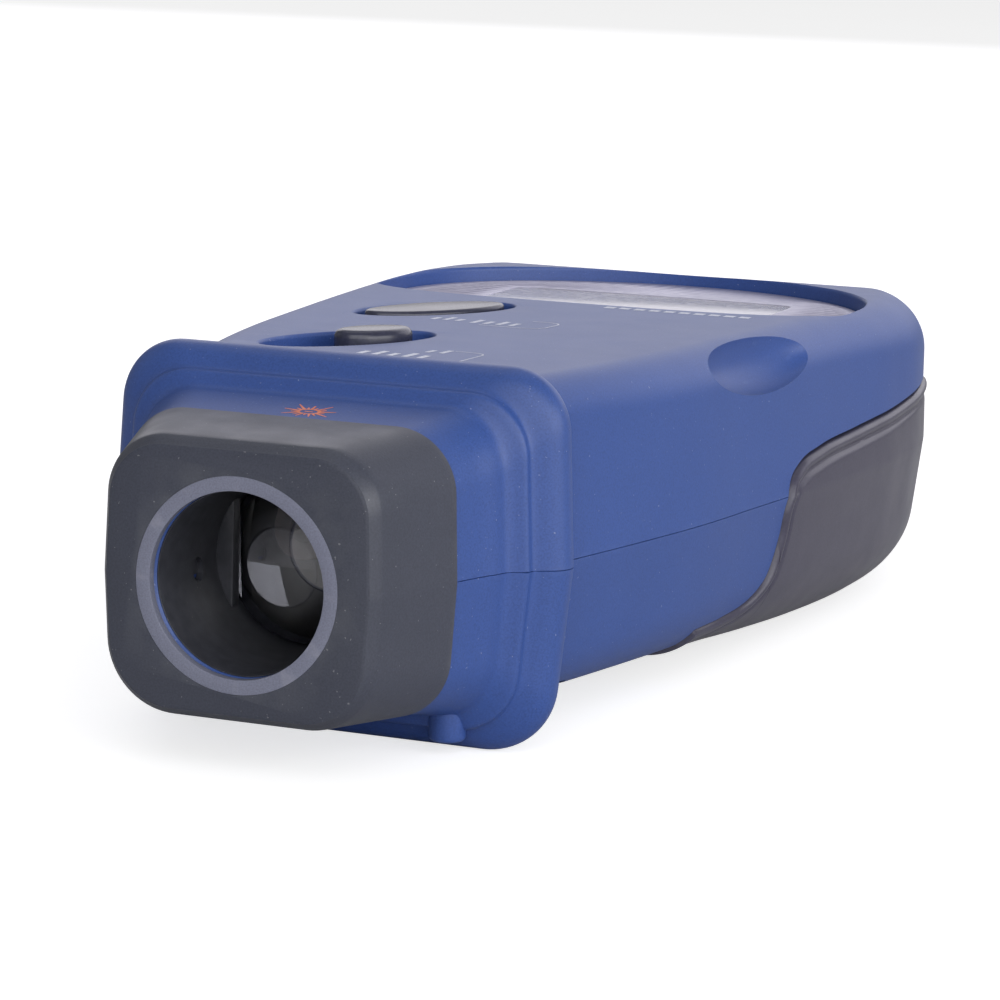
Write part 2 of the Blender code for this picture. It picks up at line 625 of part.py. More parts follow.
def keys(dark, rubber, white, green):
    rest = slanted(SLIDER_POCKET, SLIDER_REST)
    knob = prism("mode_slider", leaf(rest, 10.0, 6.0, steps=24), POCKET_FLOOR + GAP, 20.0, dark)
    boolean(knob, prism("slider_stem", slanted_box(rest, 3.0, 1.8), 11.4, 17.0), "UNION")
    switch = prism("slide_switch", slanted_box(SLIDER_POCKET, 16.0, 5.0), BOARD_TOP + GAP, 12.9, white)
    boolean(switch, prism("switch_slot", slanted_box(SLIDER_POCKET, SLIDER_TRAVEL + 4.0, 2.4), 11.0, 14.0))

    memory = prism("memory_key", leaf(MEMORY_POCKET, 20.3, 7.9), 13.4, 18.8, dark)
    boolean(memory, prism("memory_skirt", leaf(MEMORY_POCKET, 22.6, 9.8), 13.0, 14.1), "UNION")
    measure = prism("measure_key", oval(MEASURE_KEY, 16.4, 11.4), 6.6, 12.4, rubber)
    boolean(measure, prism("measure_skirt", oval(MEASURE_KEY, 18.6, 13.6), 6.4, 7.4), "UNION")

    tact_switch("memory_switch", MEMORY_POCKET, BOARD_TOP + GAP, 11.95, white)
    box("key_board", (-11.0, 148.0, 0.8), (11.0, 172.0, 2.4), green, 0.3)
    tact_switch("measure_switch", MEASURE_KEY, 2.7, 5.4, white)


def tact_switch(name, centre, low, high, mat):
    """Small push switch: a square body with a round plunger on top."""
    x, back = centre
    half = 3.0
    body = box(name, (x - half, back - half, low), (x + half, back + half, high - 0.5), mat)
    plunger = rod(name + "_plunger", (x, back, low + 0.5), (x, back, high), 1.7, segments=16)
    boolean(body, plunger, "UNION")


# ---------------------------------------------------------------- electronics

def electronics(green, dark, steel):
    outline = ((-19.0, 42.5), (19.0, 42.5), (22.5, 56.0), (24.0, 74.0), (25.2, 96.0), (25.2, 131.0),
               (-25.2, 131.0), (-25.2, 96.0), (-24.0, 74.0), (-22.5, 56.0))
    board = prism("main_board", outline, BOARD_BOTTOM, BOARD_TOP, green)
    for index, (x, back) in enumerate(POST_PLACES):
        boolean(board, rod("board_hole_%d" % index, (x, back, 5.0), (x, back, 10.0), 1.2, segments=12))
    box("microcontroller", (-5.0, 64.0, BOARD_BOTTOM - 2.0), (5.0, 74.0, BOARD_BOTTOM - GAP), dark, 0.3)
    crystal = rod("crystal", (9.0, 66.0, BOARD_BOTTOM - 1.9), (9.0, 72.0, BOARD_BOTTOM - 1.9), 1.5, steel, 16)
    add_bevel(crystal, 0.3)


# ---------------------------------------------------------------- power

def power(blue, wrap, steel, outer):
    places = {"battery_left": -BATTERY_PITCH, "battery_middle": 0.0, "battery_right": BATTERY_PITCH}
    nub = 0.9
    end = BATTERY_FRONT + BATTERY_LENGTH
    for name, x in places.items():
        profile = ((0.0, BATTERY_FRONT), (1.9, BATTERY_FRONT), (1.9, BATTERY_FRONT + nub),
                   (4.8, BATTERY_FRONT + nub), (BATTERY_RADIUS, BATTERY_FRONT + nub + 0.4),
                   (BATTERY_RADIUS, end - 0.3), (4.8, end), (0.0, end))
        turned(name, profile, (x, 0.0, BATTERY_AXIS), wrap, 24)
    plate_top = BATTERY_AXIS + 4.6
    plate_bottom = BATTERY_AXIS - 4.6
    for name, near, far in (("contact_plate_front", BATTERY_FRONT - 0.9, BATTERY_FRONT - GAP),
                            ("contact_plate_rear", 179.6, 180.2)):
        box(name, (-16.0, near, plate_bottom), (16.0, far, plate_top), steel)
    for index, x in enumerate(places.values()):
        wire("battery_spring_%d" % (index + 1), spring_route(x, end + GAP, 179.3), SPRING_WIRE, steel)

    door = copy_of(outer, "battery_door", blue)
    boolean(door, box("door_block", (-DOOR_HALF_WIDTH, DOOR_FRONT, -40.0),
                      (DOOR_HALF_WIDTH, 200.0, DOOR_TOP)), "INTERSECT")
    boolean(door, box("door_notch", (-6.0, 134.0, -30.0), (6.0, 136.2, -19.1)))


def spring_route(x, start, end):
    """Points of a conical contact spring behind a cell."""
    turns = 3
    count = turns * 8
    first = start + SPRING_WIRE
    last = end - SPRING_WIRE
    points = []
    for index in range(count + 1):
        part = index / count
        radius = 2.0 + 1.9 * part
        a = TAU * turns * part
        points.append((x + radius * math.cos(a), first + part * (last - first),
                       BATTERY_AXIS + radius * math.sin(a)))
    return points


def wire(name, route, radius, mat):
    """Round wire through (x, back, up) points, as a closed mesh with welded caps."""
    curve = bpy.data.curves.new(name, "CURVE")
    curve.dimensions = "3D"
    curve.bevel_depth = radius * MM
    curve.bevel_resolution = 2
    curve.use_fill_caps = True
    spline = curve.splines.new("POLY")
    spline.points.add(len(route) - 1)
    for point, target in zip(route, spline.points):
        target.co = (*place(*point), 1.0)
    guide = bpy.data.objects.new(name + "_guide", curve)
    bpy.data.collections[PARTS].objects.link(guide)
    graph = bpy.context.evaluated_depsgraph_get()
    mesh = bpy.data.meshes.new_from_object(guide.evaluated_get(graph))
    bpy.data.objects.remove(guide, do_unlink=True)
    shape = bmesh.new()
    shape.from_mesh(mesh)
    bpy.data.meshes.remove(mesh)
    bmesh.ops.remove_doubles(shape, verts=shape.verts, dist=0.00001)
    return from_bmesh(name, shape, mat)


def leads(red, black):
    """Insulated wires: sensor board to main board, and battery contacts to main board."""
    for index, x in enumerate((-3.0, 0.0, 3.0)):
        route = [(x, 41.0, -3.0), (x, 42.4, -3.2), (x, 44.4, -1.0), (x, 46.0, 3.0), (x, 47.0, 6.6)]
        wire("sensor_lead_%d" % (index + 1), route, 0.5, black)
    for index, (x, mat) in enumerate(((-14.0, black), (14.0, red))):
        route = [(x, 127.0, -6.4), (x, 125.4, -5.6), (x * 1.05, 123.6, -2.0), (x * 1.1, 122.4, 3.0),
                 (x * 1.12, 122.0, 6.5)]
        wire("battery_lead_%d" % (index + 1), route, 0.6, mat)


# ---------------------------------------------------------------- fasteners

def fasteners(steel):
    for index, (x, back) in enumerate(SCREW_PLACES):
        screw("housing_screw_%d" % (index + 1), x, back, -8.3, 10.0, 1.15, 2.6, 2.0, steel)
    for index, (x, back) in enumerate(POST_PLACES):
        screw("board_screw_%d" % (index + 1), x, back, BOARD_BOTTOM - GAP, 12.4, 0.85, 1.8, 1.3, steel)


def screw(name, x, back, seat, tip, shaft, head, head_height, mat):
    """Screw pointing up: stepped rings from the head's underside to the tip."""
    segments = 12
    shape = bmesh.new()
    rings = []
    for radius, up in ((head * 0.92, seat - head_height), (head, seat - head_height * 0.6), (head, seat),
                       (shaft, seat), (shaft, tip - shaft), (shaft * 0.4, tip)):
        rings.append([shape.verts.new(place(x + radius * math.cos(TAU * i / segments),
                                            back + radius * math.sin(TAU * i / segments), up))
                      for i in range(segments)])
    for here, there in zip(rings, rings[1:]):
        for i in range(segments):
            j = (i + 1) % segments
            shape.faces.new((here[i], here[j], there[j], there[i]))
    shape.faces.new(rings[0])
    shape.faces.new(rings[-1])
    return from_bmesh(name, shape, mat)


# ---------------------------------------------------------------- the object

def build():
    clear_scene()
    new_collection(PARTS)
    new_collection(CUTTERS)

    blue = material("blue_plastic", (0.030, 0.065, 0.215), 0.42)
    dark = material("dark_plastic", (0.036, 0.038, 0.046), 0.55)
    ring_grey = material("ring_grey", (0.16, 0.165, 0.22), 0.45)
    rubber = material("grip_rubber", (0.055, 0.055, 0.070), 0.65)
    black = material("barrel_black", (0.012, 0.012, 0.014), 0.50)
    glass = material("lens_glass", (0.55, 0.62, 0.70), 0.05, 0.0, 0.9)
    silver = material("bezel_silver", (0.56, 0.55, 0.66), 0.35, 0.4)
    clear = material("window_clear", (0.80, 0.82, 0.84), 0.08, 0.0, 0.9)
    green = material("board_green", (0.02, 0.16, 0.06), 0.50)
    cell = material("lcd_glass", (0.42, 0.47, 0.42), 0.15)
    brass = material("laser_brass", (0.66, 0.50, 0.22), 0.30, 1.0)
    steel = material("steel", (0.62, 0.62, 0.64), 0.30, 1.0)
    wrap = material("battery_wrap", (0.35, 0.33, 0.10), 0.40)
    white = material("white_plastic", (0.70, 0.70, 0.68), 0.50)
    red = material("lead_red", (0.50, 0.03, 0.02), 0.45)

    outer = housing(blue)
    grips(rubber)
    nose(dark, ring_grey)
    optics(black, glass, brass, green, dark)
    display(silver, clear, cell, white, rubber)
    keys(dark, rubber, white, green)
    electronics(green, dark, steel)
    power(blue, wrap, steel, outer)
    leads(red, dark)
    fasteners(steel)


build()
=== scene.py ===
"""Looks of a hand-held laser instrument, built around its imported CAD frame.

Stations are in millimetres behind the front of the nose, and heights in millimetres above the
optical axis, as in the CAD part. `place` turns them into the shared frame, in metres.
"""

from math import acos, atan2, copysign, cos, exp, hypot, pi, radians, sin, sqrt, tan

import bmesh
import bpy
import numpy as np
from mathutils import Matrix, Vector
from mathutils.bvhtree import BVHTree


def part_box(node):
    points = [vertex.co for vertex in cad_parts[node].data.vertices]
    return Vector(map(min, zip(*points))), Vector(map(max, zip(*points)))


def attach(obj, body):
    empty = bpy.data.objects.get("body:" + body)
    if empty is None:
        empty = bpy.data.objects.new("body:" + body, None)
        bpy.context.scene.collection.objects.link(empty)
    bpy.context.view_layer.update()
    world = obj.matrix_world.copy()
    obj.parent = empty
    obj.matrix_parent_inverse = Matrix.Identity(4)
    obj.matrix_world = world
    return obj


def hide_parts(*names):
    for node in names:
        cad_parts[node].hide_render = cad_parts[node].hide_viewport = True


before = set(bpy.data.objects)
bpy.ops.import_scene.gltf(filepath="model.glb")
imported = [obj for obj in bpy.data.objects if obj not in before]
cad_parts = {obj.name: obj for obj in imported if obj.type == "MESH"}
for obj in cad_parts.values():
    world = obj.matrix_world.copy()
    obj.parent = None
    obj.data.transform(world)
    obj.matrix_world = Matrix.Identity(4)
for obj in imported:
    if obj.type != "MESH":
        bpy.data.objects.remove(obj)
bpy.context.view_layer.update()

MM = 0.001
TAU = 2.0 * pi
QUARTER = [pi / 2.0 * index / 5 for index in range(6)]      # angles of a quarter turn
LENS_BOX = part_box("objective_lens")
RING_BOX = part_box("aperture_ring")
FRONT = RING_BOX[0].y / MM                                  # where the nose starts
AXIS_HEIGHT = (LENS_BOX[0].z + LENS_BOX[1].z) / 2.0 / MM    # optical axis above the rest surface

FINE = 128                # segments of what is turned about the optical axis
COARSE = (5, 2, 1)        # steps of a section inside the housing
CLEAR_ABOVE = 12.0        # how far a pocket's cutter stands over its rim
BELOW, ABOVE = -30.0, 30.0    # heights under and over the whole housing
BESIDE = 60.0             # half width that takes in the whole housing
AHEAD, BEHIND = -20.0, 210.0  # stations before and behind the whole housing

# Driving dimensions, in millimetres, as the CAD part has them.
GAP = 0.3
SEAM = 0.016              # what shows of the closed joint between the two shells
WALL = 2.6
BORE_RADIUS = 9.3
RING_OUTER = 10.9
RING_INNER = 9.4
RING_DEPTH = 1.0
CAP_REAR = 12.2
CAP_WALL = 1.5
SLEEVE = (1.4, 13.5)      # stations of the tube that carries the nose cap
BOSS_PLACE = (14.3, 21.2)
BOSS_RADIUS = 1.93
BOSS_ROUND = 0.5
BULKHEAD = 15.0
SHELF_EDGE = -7.2
RECESS_CENTRE = 114.0
RECESS_HALF_WIDTH = 31.0
RECESS_FRONT = 17.2
RECESS_REAR = 27.5
RECESS_FLOOR = 16.0
DISPLAY_FLOOR = RECESS_FLOOR - 1.3
BEZEL_TOP = 16.6
PANE_BOTTOM = 16.0
WINDOW_HALF_WIDTH = 19.0
WINDOW_FRONT = 106.0
WINDOW_REAR = 127.0
KEY_ANGLE = 60.0
POCKET_SIZE = (23.0, 10.5)
POCKET_FLOOR = 16.2
SLIDER_POCKET = (-9.8, 48.8)
MEMORY_POCKET = (-12.2, 80.3)
SLIDER_REST = 3.5
SLIDER_TRAVEL = 7.0
KNOB_SIZE = (10.0, 6.0)
STEM_SIZE = (3.0, 1.8)
SLOT_SIZE = (SLIDER_TRAVEL + 4.2, 2.6)
MEMORY_CAP = (20.3, 7.9)
MEMORY_SKIRT = (22.6, 9.8)
MEASURE_KEY = (0.0, 160.0)
MEASURE_CAP = (16.4, 11.4)
MEASURE_SKIRT = (18.6, 13.6)
MEASURE_ANGLE = 90.0
DOOR_HALF_WIDTH = 15.8
DOOR_FRONT = 131.0
DOOR_TOP = -17.6
BELLY = -19.4
TOP = 18.5
GRIP_INNER_EDGE = 17.0
GRIP_PROUD = 0.5
GRIP_THICKNESS = 1.8
COLUMN_RADIUS = 4.4
SCREW_RADIUS = 1.6
COUNTERBORE = ((3.4, 0.0), (3.4, 8.0), (3.0, 16.0), (3.0, 22.0))

# Distance behind the nose, half width at the parting plane, at the top and at the bottom,
# height of the top and of the bottom, corner radius of the top and of the bottom.
CAP_ROWS = (
    (0.0, 13.9, 13.4, 13.1, 13.0, -12.7, 5.6, 6.6),
    (0.12, 14.25, 13.75, 13.45, 13.38, -13.08, 5.8, 6.9),
    (1.25, 15.0, 14.5, 14.2, 14.15, -13.85, 6.3, 7.4),
    (1.6, 15.14, 14.64, 14.34, 14.27, -13.96, 6.4, 7.5),
    (CAP_REAR, 18.5, 17.9, 17.7, 15.2, -14.4, 6.6, 6.8),
)
NECK_CONE = (
    (12.5, 18.1, 17.5, 17.3, 14.9, -14.3, 6.4, 6.4),
    (16.5, 19.5, 18.8, 18.5, 15.5, -14.9, 6.4, 6.6),
    (18.8, 20.5, 19.7, 19.4, 16.0, -15.4, 6.4, 6.8),
)
FLANGE_ROW = (25.2, 25.9, 24.8, 24.0, 20.3, -19.9, 6.7, 7.6)
# How far the neck has opened out into the flange, from none to all, at each station.
FLARE = (
    (19.6, 0.05), (20.1, 0.12), (20.5, 0.24), (20.8, 0.36), (21.0, 0.405), (21.25, 0.425),
    (21.6, 0.435), (21.9, 0.46), (22.2, 0.53), (22.6, 0.67), (23.1, 0.81), (23.7, 0.91),
    (24.4, 0.975), (25.2, 1.0), (25.9, 0.985), (26.6, 0.92), (27.1, 0.83), (27.4, 0.72))


def flare_rows():
    """Rows of the neck's cone, then of the ridge, hollow and rounded bead of the flange."""
    start = np.array(NECK_CONE[-1])
    reach = np.array(FLANGE_ROW) - start
    rows = [np.array(row) for row in NECK_CONE]
    for station, share in FLARE:
        row = start + reach * share
        row[0] = station
        rows.append(row)
    return np.array(rows)


NECK_ROWS = flare_rows()
BODY_ROWS = (
    (28.4, 24.0, 21.0, 21.6, 18.5, -15.5, 5.0, 6.4),
    (42.3, 27.3, 24.7, 25.0, 18.5, -15.7, 5.2, 7.2),
    (56.0, 30.1, 27.4, 27.6, 18.5, -16.1, 5.4, 8.2),
    (69.8, 32.0, 29.4, 29.4, 18.5, -16.8, 5.6, 9.4),
    (85.0, 34.1, 31.3, 31.4, 18.5, -17.9, 5.8, 10.6),
    (100.0, 35.7, 33.0, 32.8, 18.5, -18.9, 6.0, 11.6),
    (115.0, 36.7, 35.0, 33.9, 18.4, -19.4, 6.4, 12.0),
    (126.0, 36.4, 35.8, 33.9, 18.3, -19.4, 6.8, 11.6),
    (135.0, 34.6, 34.3, 32.4, 18.2, -19.4, 7.0, 11.0),
    (141.0, 32.3, 31.6, 30.2, 17.9, -19.4, 7.2, 10.4),
    (145.0, 30.3, 28.8, 28.2, 17.0, -19.4, 7.2, 9.8),
    (149.0, 28.2, 25.9, 26.4, 14.8, -19.4, 7.2, 9.2),
    (154.0, 26.2, 22.8, 24.6, 12.3, -19.4, 7.0, 8.6),
    (161.0, 24.6, 20.4, 23.2, 10.9, -19.4, 6.8, 8.0),
    (170.0, 23.4, 19.2, 22.0, 10.2, -19.4, 6.6, 7.6),
    (178.0, 22.6, 18.4, 21.2, 9.6, -19.4, 6.4, 7.4),
    (182.0, 21.2, 17.0, 19.6, 8.6, -18.8, 6.0, 7.0),
    (183.6, 19.2, 15.0, 17.4, 6.9, -17.2, 5.4, 6.4),
    (184.0, 16.4, 12.4, 14.8, 4.6, -14.6, 4.6, 5.6),
)
CAVITY_ROWS = (
    (14.5, 16.3, 15.7, 15.4, 13.0, -12.6, 4.8, 4.8),
    (20.0, 17.8, 17.1, 16.8, 13.8, -13.4, 5.0, 5.0),
    (27.0, 21.6, 18.2, 19.2, 15.8, -15.0, 3.0, 4.0),
)
CAVITY_STATIONS = (32.0, 42.0, 56.0, 70.0, 85.0, 100.0, 115.0, 126.0, 135.0, 142.0, 149.0, 156.0,
                   168.0, 180.8)
GRIP_OUTLINE = (
    (62.0, -13.4), (68.5, -13.0), (73.5, -11.8), (76.7, -9.2), (78.1, -5.0), (78.4, -1.2),
    (79.7, 1.7), (82.9, 3.4), (88.5, 4.4), (100.5, 5.2), (114.5, 6.0), (126.0, 7.0),
    (136.0, 7.6), (146.0, 6.8), (156.0, 4.8), (168.0, 3.2), (176.0, 2.2), (178.8, 0.2),
    (179.8, -3.4), (179.8, BELOW), (62.0, BELOW))
SCREW_PLACES = ((18.5, 36.0), (-18.5, 36.0), (21.0, 138.0), (-21.0, 138.0))


# ---- mesh helpers

def place(x, back, up):
    return Vector((x, back + FRONT, up + AXIS_HEIGHT)) * MM


def linked(name, data):
    made = bpy.data.objects.new(name, data)
    bpy.context.scene.collection.objects.link(made)
    return made


def object_from(name, shape):
    bmesh.ops.recalc_face_normals(shape, faces=shape.faces)
    mesh = bpy.data.meshes.new(name)
    shape.to_mesh(mesh)
    shape.free()
    return linked(name, mesh)


def baked(target):
    """Turn an object's modifiers into its mesh."""
    graph = bpy.context.evaluated_depsgraph_get()
    mesh = bpy.data.meshes.new_from_object(target.evaluated_get(graph))
    target.modifiers.clear()
    target.data = mesh
    return target


def carve(target, tools, operation="DIFFERENCE"):
    """Cut tools away from a target, or join them to it, and delete them."""
    for tool in tools:
        change = target.modifiers.new("cut", "BOOLEAN")
        change.object = tool
        change.operation = operation
        change.solver = "MANIFOLD"
    baked(target)
    for tool in tools:
        bpy.data.objects.remove(tool, do_unlink=True)
    return target


def finished(piece, mat, replaced=(), angle=32.0, body="housing"):
    """Shade a piece, give it its material and tie it to its body."""
    mesh = piece.data
    mesh.shade_smooth()
    mesh.set_sharp_from_angle(angle=radians(angle))
    mesh.materials.clear()
    mesh.materials.append(mat)
    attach(piece, body)
    if replaced:
        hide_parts(*replaced)
    return piece


def wrap(shape, rows, closed=False, ring=True):
    """Quads between neighbouring rows of vertices, where each row is a ring or an open line."""
    count = len(rows[0])
    for here, there in zip(rows, rows[1:] + (rows[:1] if closed else [])):
        for i in range(count if ring else count - 1):
            j = (i + 1) % count
            shape.faces.new((here[i], here[j], there[j], there[i]))


def loft(name, rings):
    """Closed skin over rings of equal point counts."""
    shape = bmesh.new()
    rows = [[shape.verts.new(point) for point in ring] for ring in rings]
    wrap(shape, rows)
    shape.faces.new(rows[0])
    shape.faces.new(rows[-1])
    return object_from(name, shape)


def box(name, low, high, bevel=0.0):
    shape = bmesh.new()
    first = place(*low)
    last = place(*high)
    matrix = Matrix.Translation((first + last) / 2.0) @ Matrix.Diagonal((*(last - first), 1.0))
    bmesh.ops.create_cube(shape, size=1.0, matrix=matrix)
    made = object_from(name, shape)
    if bevel:
        add_bevel(made, bevel)
    return made


def over_window(name, grow, low, high, bevel=0.0):
    """Block over the window of the display, grown all round."""
    return box(name, (-WINDOW_HALF_WIDTH - grow, WINDOW_FRONT - grow, low),
               (WINDOW_HALF_WIDTH + grow, WINDOW_REAR + grow, high), bevel)


def add_bevel(target, width):
    change = target.modifiers.new("edges", "BEVEL")
    change.width = width * MM
    change.segments = 3
    change.limit_method = "ANGLE"
    change.angle_limit = radians(40.0)
    baked(target)


def turned_between(name, start, end, profile, segments=64):
    """Solid of revolution about the line from start to end; profile of (radius, distance along)."""
    first = place(*start)
    along = (place(*end) - first).normalized()
    across = along.orthogonal().normalized()
    third = along.cross(across)
    rings = []
    for radius, distance in profile:
        centre = first + along * distance * MM
        rings.append([centre + (across * cos(TAU * i / segments)
                                + third * sin(TAU * i / segments)) * radius * MM
                      for i in range(segments)])
    return loft(name, rings)


def rod(name, start, end, radius, segments=48):
    reach = (place(*end) - place(*start)).length / MM
    return turned_between(name, start, end, ((radius, 0.0), (radius, reach)), segments)


def on_axis(name, start, end, profile):
    """Solid of revolution about the optical axis."""
    return turned_between(name, (0.0, start, 0.0), (0.0, end, 0.0), profile, FINE)


def around(radius, back, turn):
    """Point about the optical axis, a share of a turn round from the +X side."""
    return place(radius * cos(TAU * turn), back, radius * sin(TAU * turn))


def tube(name, profile):
    """Ring about the optical axis from a closed profile of (radius, distance back) points."""
    shape = bmesh.new()
    rows = [[shape.verts.new(around(radius, back, i / FINE)) for radius, back in profile]
            for i in range(FINE)]
    wrap(shape, rows, closed=True)
    return object_from(name, shape)


def softened(profile, radius):
    """Closed profile with each corner rounded by a small radius."""
    count = len(profile)
    points = []
    for index, corner in enumerate(profile):
        points += rounded(corner, profile[index - 1], profile[(index + 1) % count], radius, 3)
    return points


def unit(vector):
    return vector / np.linalg.norm(vector)


def rounded(corner, before, after, radius, steps):
    """Arc that rounds a polygon's corner."""
    corner, before, after = (np.array(point, float) for point in (corner, before, after))
    to_before, to_after = unit(before - corner), unit(after - corner)
    half = acos(float(np.clip(to_before @ to_after, -1.0, 1.0))) / 2.0
    reach = radius / tan(half)
    centre = corner + unit(to_before + to_after) * radius / sin(half)
    start = corner + to_before * reach - centre
    end = corner + to_after * reach - centre
    first = atan2(start[1], start[0])
    turn = (atan2(end[1], end[0]) - first + pi) % TAU - pi
    angles = first + turn * np.linspace(0.0, 1.0, steps + 1)
    return [tuple(centre + radius * np.array((cos(a), sin(a)))) for a in angles]


def arc_lengths(points):
    """Distance along a polyline to each of its points."""
    return np.concatenate(([0.0], np.cumsum(np.linalg.norm(np.diff(points, axis=0), axis=1))))


def cubic(table, places, at):
    """Value of a table between its places, by cubic interpolation."""
    slopes = np.gradient(table, places, axis=0)
    i = int(np.clip(np.searchsorted(places, at) - 1, 0, len(places) - 2))
    span = places[i + 1] - places[i]
    t = (at - places[i]) / span
    return ((2 * t**3 - 3 * t**2 + 1) * table[i] + (t**3 - 2 * t**2 + t) * span * slopes[i]
            + (3 * t**2 - 2 * t**3) * table[i + 1] + (t**3 - t**2) * span * slopes[i + 1])


def along_rows(rows, back):
    """Row of driving dimensions at any station."""
    table = np.array(rows)
    value = cubic(table, table[:, 0], back)
    value[0] = back
    return value


def body_row(back):
    value = along_rows(BODY_ROWS, back)
    value[5] = max(value[5], BELLY)
    return value


def section(row, inset=0.0, steps=(18, 20, 5)):
    """Closed ring of points round the housing at one station, drawn in by inset."""
    half = half_section(row, inset, steps)
    outline = half + [(-x, up) for x, up in reversed(half[1:-1])]
    return [place(x, row[0], up) for x, up in outline]


def half_section(row, inset, steps):
    """Outline from the middle of the top, round the +X side, to the middle of the bottom.

    The steps are those of a corner, of a side and of the flat top or bottom.
    """
    corner_steps, side_steps, flat_steps = steps
    middle, top_half, bottom_half, top = (value - inset for value in row[1:5])
    bottom = row[5] + inset
    top_radius, bottom_radius = (max(value - inset, 1.0) for value in row[6:])
    upper = rounded((top_half, top), (0.0, top), (middle, 0.0), top_radius, corner_steps)
    lower = rounded((bottom_half, bottom), (middle, 0.0), (0.0, bottom), bottom_radius,
                    corner_steps)
    knots = ([(0.0, top)], upper, [(middle, 0.0)], lower, [(0.0, bottom)])
    points = list(knots[0])
    for group, count in zip(knots[1:], (flat_steps, side_steps, side_steps, flat_steps)):
        start = np.array(points[-1])
        end = np.array(group[0])
        points += [tuple(start + (end - start) * step / count) for step in range(1, count)]
        points += group
    return points


def spaced(*stretches):
    """Stations of several stretches, each (start, end, step), without repeats."""
    values = []
    for start, end, step in stretches:
        values += list(np.linspace(start, end, max(2, int(round((end - start) / step)) + 1)))
    return sorted(set(round(value, 4) for value in values))


# ---- outlines

def slanted(centre, along, across=0.0, angle=KEY_ANGLE):
    """Point of the top face, along and across the slant of the key pockets."""
    turn = radians(angle)
    return (centre[0] + along * cos(turn) - across * sin(turn),
            centre[1] + along * sin(turn) + across * cos(turn))


def leaf(centre, size, grow=0.0, angle=KEY_ANGLE):
    """Plan outline of a slanted oval of a given length and width, grown all round."""
    length, width = (value + 2.0 * grow for value in size)
    return [slanted(centre, length / 2.0 * cos(a), width / 2.0 * sin(a), angle)
            for a in (TAU * index / 72 for index in range(72))]


def slanted_box(centre, size):
    length, width = size
    return [slanted(centre, sign_a * length / 2.0, sign_b * width / 2.0)
            for sign_a, sign_b in ((-1, -1), (1, -1), (1, 1), (-1, 1))]


def recess_outline(grow=0.0, steps=160):
    """Plan outline of the display recess: a flat front with full corners and a half-oval rear."""
    points = []
    for index in range(steps):
        a = TAU * index / steps
        across, along = cos(a), sin(a)
        if along >= 0.0:
            points.append(((RECESS_HALF_WIDTH + grow) * across,
                           RECESS_CENTRE + (RECESS_REAR + grow) * along))
        else:
            power = 2.0 / 3.6
            points.append((copysign(abs(across)**power, across) * (RECESS_HALF_WIDTH + grow),
                           RECESS_CENTRE - abs(along)**power * (RECESS_FRONT + grow)))
    return points


def stacked(name, outline_at, levels):
    """Closed stack of plan outlines, outline_at(grow) at each level of (grow, up)."""
    return loft(name, [[place(x, back, up) for x, back in outline_at(grow)] for grow, up in levels])


def pocket_levels(floor, rim, rim_radius, floor_radius):
    """Levels of a pocket cutter with a rounded rim and a rounded foot."""
    levels = [(-floor_radius * (1.0 - sin(a)), floor + floor_radius * (1.0 - cos(a)))
              for a in QUARTER]
    levels += [(rim_radius * (1.0 - cos(a)), rim - rim_radius * (1.0 - sin(a))) for a in QUARTER]
    return levels + [(rim_radius, rim + CLEAR_ABOVE)]


def key_levels(foot, top, edge):
    """Levels of a key cap with a rounded upper edge."""
    return [(0.0, foot)] + [(-edge * (1.0 - cos(a)), top - edge * (1.0 - sin(a)))
                            for a in QUARTER]


def plain(outline, low, high):
    """Upright prism over a plan outline, to cut or to join with."""
    return stacked("prism", lambda grow: outline, ((0.0, low), (0.0, high)))


# ---- housing

DISH_LEAN = radians(42.0)
DISH_YAW = radians(8.0)
DISH_SIZE = (5.2, 14.6, 4.5)
DISH_EDGE = (30.0, 75.5, 15.6)
DISH_OUT = 2.3


def finger_dish(sign):
    """Long ellipsoid that cuts the finger dish out of one shoulder."""
    reach = Vector((cos(DISH_LEAN) * sign, 0.0, sin(DISH_LEAN)))
    middle = place(DISH_EDGE[0] * sign, *DISH_EDGE[1:]) + reach * DISH_OUT * MM
    turn = Matrix.Rotation(-sign * DISH_YAW, 4, "Z") @ Matrix.Rotation(-sign * DISH_LEAN, 4, "Y")
    size = Matrix.Diagonal((*(value * MM for value in DISH_SIZE), 1.0))
    shape = bmesh.new()
    bmesh.ops.create_uvsphere(shape, u_segments=160, v_segments=96, radius=1.0,
                              matrix=Matrix.Translation(middle) @ turn @ size)
    return object_from("finger_dish", shape)


def skin():
    """Outer skin of the housing as one closed body."""
    neck = spaced((12.5, 19.5, 0.6), (19.5, 27.4, 0.14))
    body = spaced((28.4, 50.0, 1.6), (50.0, 102.0, 1.3), (102.0, 178.0, 1.5), (178.0, 184.0, 0.4))
    return loft("skin", [section(along_rows(NECK_ROWS, back)) for back in neck]
                + [section(body_row(back)) for back in body])


def cavity():
    """Hollow of the housing, less what stands into it."""
    rings = [section(row, 0.0, COARSE) for row in CAVITY_ROWS]
    rings += [section(body_row(back), WALL, COARSE) for back in CAVITY_STATIONS]
    hollow = loft("cavity", rings)
    pans = [stacked("display_pan", recess_outline, ((1.8, 12.9), (1.8, ABOVE)))]
    for centre in (SLIDER_POCKET, MEMORY_POCKET):
        pans.append(plain(leaf(centre, POCKET_SIZE, 1.5), 14.4, ABOVE))
    for x, back in SCREW_PLACES:
        pans.append(rod("screw_column", (x, back, BELOW), (x, back, ABOVE), COLUMN_RADIUS))
    for side in (-1.0, 1.0):
        pans.append(rod("dish_backing", (26.2 * side, 58.0, 12.6), (25.4 * side, 93.0, 12.6), 4.8))
    return carve(hollow, pans)


